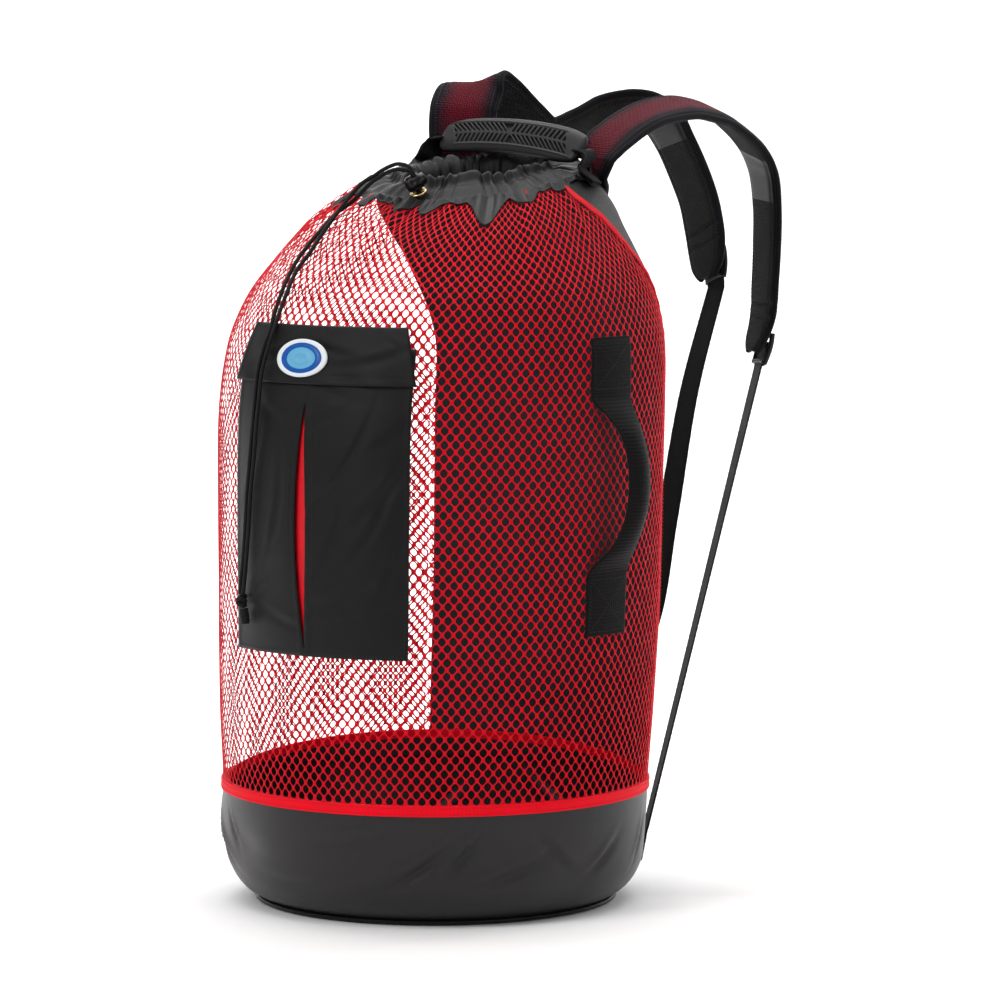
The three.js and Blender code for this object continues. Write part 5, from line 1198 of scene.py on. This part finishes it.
def makeWebbing(side, sign, buckle, startTurn, count):
    point, travel, across = buckle
    width, wall, sewn, inside = 25, 1.6, 24, 22
    angle = math.pi / 2 - sign * form["panelHalf"]
    lift = 0.3 + wall / 2 + 0.2
    top = bodyPoint(angle, 55.0, lift + 1.7)
    foot = bodyPoint(angle, 55.0 - sewn, lift)
    seamTurn = angle / degree - 90
    start = point + travel * (width / 4)
    table = smoothTable(webbings[side], count)
    bow = table[:, 1:] * (strap["apart"], strap["reach"], strap["reach"])
    points = start + (top - start) * table[:, :1] + bow
    lateral = np.array([heading((startTurn + (seamTurn - startTurn) * way) * degree) for way in table[:, 0]])
    # from inside the buckle, and down the seam on the cup
    lead = np.linspace(0, 1, 14, endpoint=False)[:, None]
    head = start + (point - travel * inside - start) * (1 - lead)
    end = top + (foot - top) * np.linspace(0, 1, 10)[1:, None]
    lateral = np.vstack([across * (1 - lead) + lateral[0] * lead, lateral,
                         np.repeat([heading(seamTurn * degree)], len(end), 0)])
    points = np.vstack([head, points, end])
    out, wide = makeStrip("strapWebbing" + side.capitalize(), "strap_webbing_" + side, points, lateral,
                          width / 2, wall)
    last = slice(-len(end), None)
    for k, share in enumerate((-0.8, 0.8)):
        path = points[last] + wide[last] * (share * width / 2) + out[last] * 0.9
        makeStitches("seamStitch%s%d" % (side.capitalize(), k), path, out[last], "thread")


rightFoot = {"angle": 65, "height": 0.972, "off": 4.2, "turn": -24, "tilt": -27}
last = makeStrap("Right", rightStrap, 300, rightFoot, (0.56, 0.675))
makeWebbing("right", 1, makeBuckle("Right", last, rightStrap, (20, 18), 20), -38, 144)
leftFoot = {"angle": 134, "height": 0.985, "off": 1.6, "turn": 43, "tilt": 6}
last = makeStrap("Left", leftStrap, 340, leftFoot, (0.647, 0.71))
makeWebbing("left", -1, makeBuckle("Left", last, leftStrap, (26, 24), 28), -14, 192)
print("stage: straps")


def ramp(value, span):
    return np.clip(value / span, 0, 1)


def makeGrip():
    grip = {"length": 168, "width": 36, "wall": 11, "arch": 7, "drop": 9, "place": (2, 102, 679),
            "lean": 37 * degree, "pitch": 5.4, "slant": 0.75, "shear": 0.6, "slot": 1.45, "deep": 3.1}
    top, under = 104, 26
    shares = np.linspace(-0.5, 0.5, 460)
    turns = np.concatenate([np.linspace(0.12, math.pi - 0.12, top), np.linspace(math.pi, 2 * math.pi, under)])
    across = -heading(math.pi / 2, math.pi / 2 - grip["lean"])
    points = np.stack([grip["place"][0] + grip["length"] * shares, np.full_like(shares, grip["place"][1]),
                       grip["place"][2] - grip["arch"] * (2 * shares) ** 2 - grip["drop"] * shares], axis=1)
    travel, outward, width = stripFrame(points, np.broadcast_to(across, points.shape))
    end = (2 * np.abs(shares)) ** 8
    cap = np.sqrt(np.clip(1 - ramp(np.abs(shares) - 0.47, 0.03) ** 2 * 0.75, 0, 1))
    half = grip["width"] * (1 - 0.35 * end) / 2 * cap
    thick = grip["wall"] * (1 - 0.3 * end) / 2 * cap
    cos, sin = np.cos(turns), np.sin(turns)
    wide = np.sign(cos) * np.abs(cos) ** 0.6
    # even steps across the top, where the slots are
    wide[:top] = np.linspace(wide[0], wide[top - 1], top)
    sin[:top] = (1 - np.abs(wide[:top]) ** (2 / 0.6)) ** 0.5
    high = np.sign(sin) * np.abs(sin) ** 0.75
    w = -wide[None, :] * half[:, None]
    x = grip["length"] * shares[:, None] + grip["shear"] * w
    # slanting slots in two rows, mirrored about the middle bar and the middle
    off = np.abs(w)
    away = np.abs(x) - grip["slant"] * off
    slot = ramp(grip["slot"] - np.abs((away / grip["pitch"] % 1) - 0.5) * grip["pitch"], 0.5)
    row = ramp(10.6 - off, 0.6)
    inside = ramp(off - 1.2, 0.5) * row * ramp(66 - np.abs(x), 0.8) * ramp(away - 0.6, 1)
    # the middle: small wedges between two crossed bars
    wedge = ramp(off - 2.4, 0.5) * row * ramp(-away - 0.9, 0.4)
    face = ramp(sin, 1 / 6)[None, :]
    depth = grip["deep"] * np.maximum(slot * inside, wedge) * face
    bead = 0.5 * np.exp(-((off - 12.4) / 0.9) ** 2) * ramp(70 - np.abs(x), 2) * face
    grid = (points[:, None] + width[:, None] * (wide[None, :] * half[:, None])[..., None]
            + outward[:, None] * (high[None, :] * thick[:, None] - depth + bead)[..., None])
    uvs = np.stack(np.broadcast_arrays((wide * 18)[None, :], x), axis=-1)
    piece = makeObject("grabGrip", grid, closedFaces(len(points), len(turns)), "moulded", uvs)
    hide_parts("grab_grip")
    for side, sign, apart, tip in (("right", 1, 62, points[-1]), ("left", -1, 66, points[0])):
        makeTab(side, sign, math.pi / 2 - sign * apart * degree, tip)


def makeTab(side, sign, angle, tip):
    # webbing from the grip's end down to the collar's foot
    lift = 1.8 + 0.3 + 1.2 + 2.4
    low = bodyPoint(angle, form["neckHeight"], lift)
    foot = bodyPoint(angle, form["neckHeight"] - 12.0, lift)
    bend = tip + (sign * 6.5, -0.5, -4.5)
    route = [tip + (-sign * 5.0, 0, 0.4), tip + (sign * 0.6, 0, 0), tip + (sign * 4.0, 0, -0.8), bend,
             (bend + low) / 2, low, foot]
    seamTurn = angle / degree - 90
    turns = [-90 * sign] * 3 + [-84 * sign, (seamTurn - 84 * sign) / 2, seamTurn, seamTurn]
    path = smoothPath(route, 1.2)
    rowsAt, at = pathLengths(route), pathLengths(path)
    twist = np.interp(at / at[-1], rowsAt / rowsAt[-1], turns)
    lateral = np.array([heading(turn * degree) for turn in twist])
    makeStrip("grabTab" + side.capitalize(), "grab_tab_" + side, path, lateral, 10.8, 2.4, 1.8)


makeGrip()
print("stage: grip")


def turnedPiece(name, node, start, axis, outline, material, body="bag"):
    # a piece turned about an axis, from rows of radius and height
    side = np.cross(axis, [0.2, 0.1, 1])
    side /= np.linalg.norm(side)
    turns = np.linspace(0, 2 * math.pi, 64, endpoint=False)
    ring = np.cos(turns)[:, None] * side + np.sin(turns)[:, None] * np.cross(axis, side)
    points = np.array([start + ring * radius + axis * high for radius, high in outline])
    piece = makeGrid(name, points, material, wrap=True, body=body)
    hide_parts(node)


def turnedFrame(node, axis):
    # the foot, length and radius of the part's own turned solid
    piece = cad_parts[node]
    flat = np.empty(len(piece.data.vertices) * 3)
    piece.data.vertices.foreach_get("co", flat)
    matrix = np.array(piece.matrix_world)
    corners = (flat.reshape(-1, 3) @ matrix[:3, :3].T + matrix[:3, 3]) / mm
    high = corners @ axis
    off = corners - high[:, None] * axis
    centre = (off.min(0) + off.max(0)) / 2
    return centre + axis * high.min(), np.ptp(high), np.linalg.norm(off - centre, axis=1).max()


def makeCordLock():
    out = np.array([0.0668, -0.4756, 0.8771])
    out /= np.linalg.norm(out)
    axis = np.array([0.393, 0.8206, 0.415])
    axis /= np.linalg.norm(axis)
    start, tall, radius = turnedFrame("cord_grommet", out)
    outline = [(4.7, 0), (radius - 0.5, 0), (radius, tall * 0.3), (radius - 0.2, tall * 0.6),
               (radius - 1.1, tall), (radius - 2, tall * 1.06), (5.2, tall * 0.95), (4.7, tall * 0.6),
               (4.7, 0)]
    turnedPiece("cordGrommet", "cord_grommet", start, out, outline, "brass")
    start, tall, radius = turnedFrame("cord_lock_barrel", axis)
    outline = [(0.01, 0), (radius - 2.4, 0), (radius - 0.9, 0.5), (radius - 0.2, 1.8), (radius, tall * 0.3),
               (radius, tall * 0.62), (radius - 0.25, tall * 0.64), (radius - 0.25, tall * 0.7),
               (radius, tall * 0.72), (radius - 0.1, tall - 1.2), (radius - 0.8, tall - 0.3),
               (radius - 1.4, tall), (6.0, tall), (5.7, tall - 0.4), (5.6, tall - 1.5)]
    turnedPiece("cordLockBarrel", "cord_lock_barrel", start, axis, outline, "glossy")
    start, tall, radius = turnedFrame("cord_lock_plunger", axis)
    outline = [(0.01, 0), (radius - 0.3, 0), (radius, 0.4), (radius, tall - 1.3), (radius - 0.4, tall - 0.5),
               (radius - 1.3, tall), (radius - 2.2, tall - 0.25), (0.01, tall - 0.5)]
    turnedPiece("cordLockPlunger", "cord_lock_plunger", start, axis, outline, "glossy",
                body="plunger")


makeCordLock()
print("stage: cord lock")
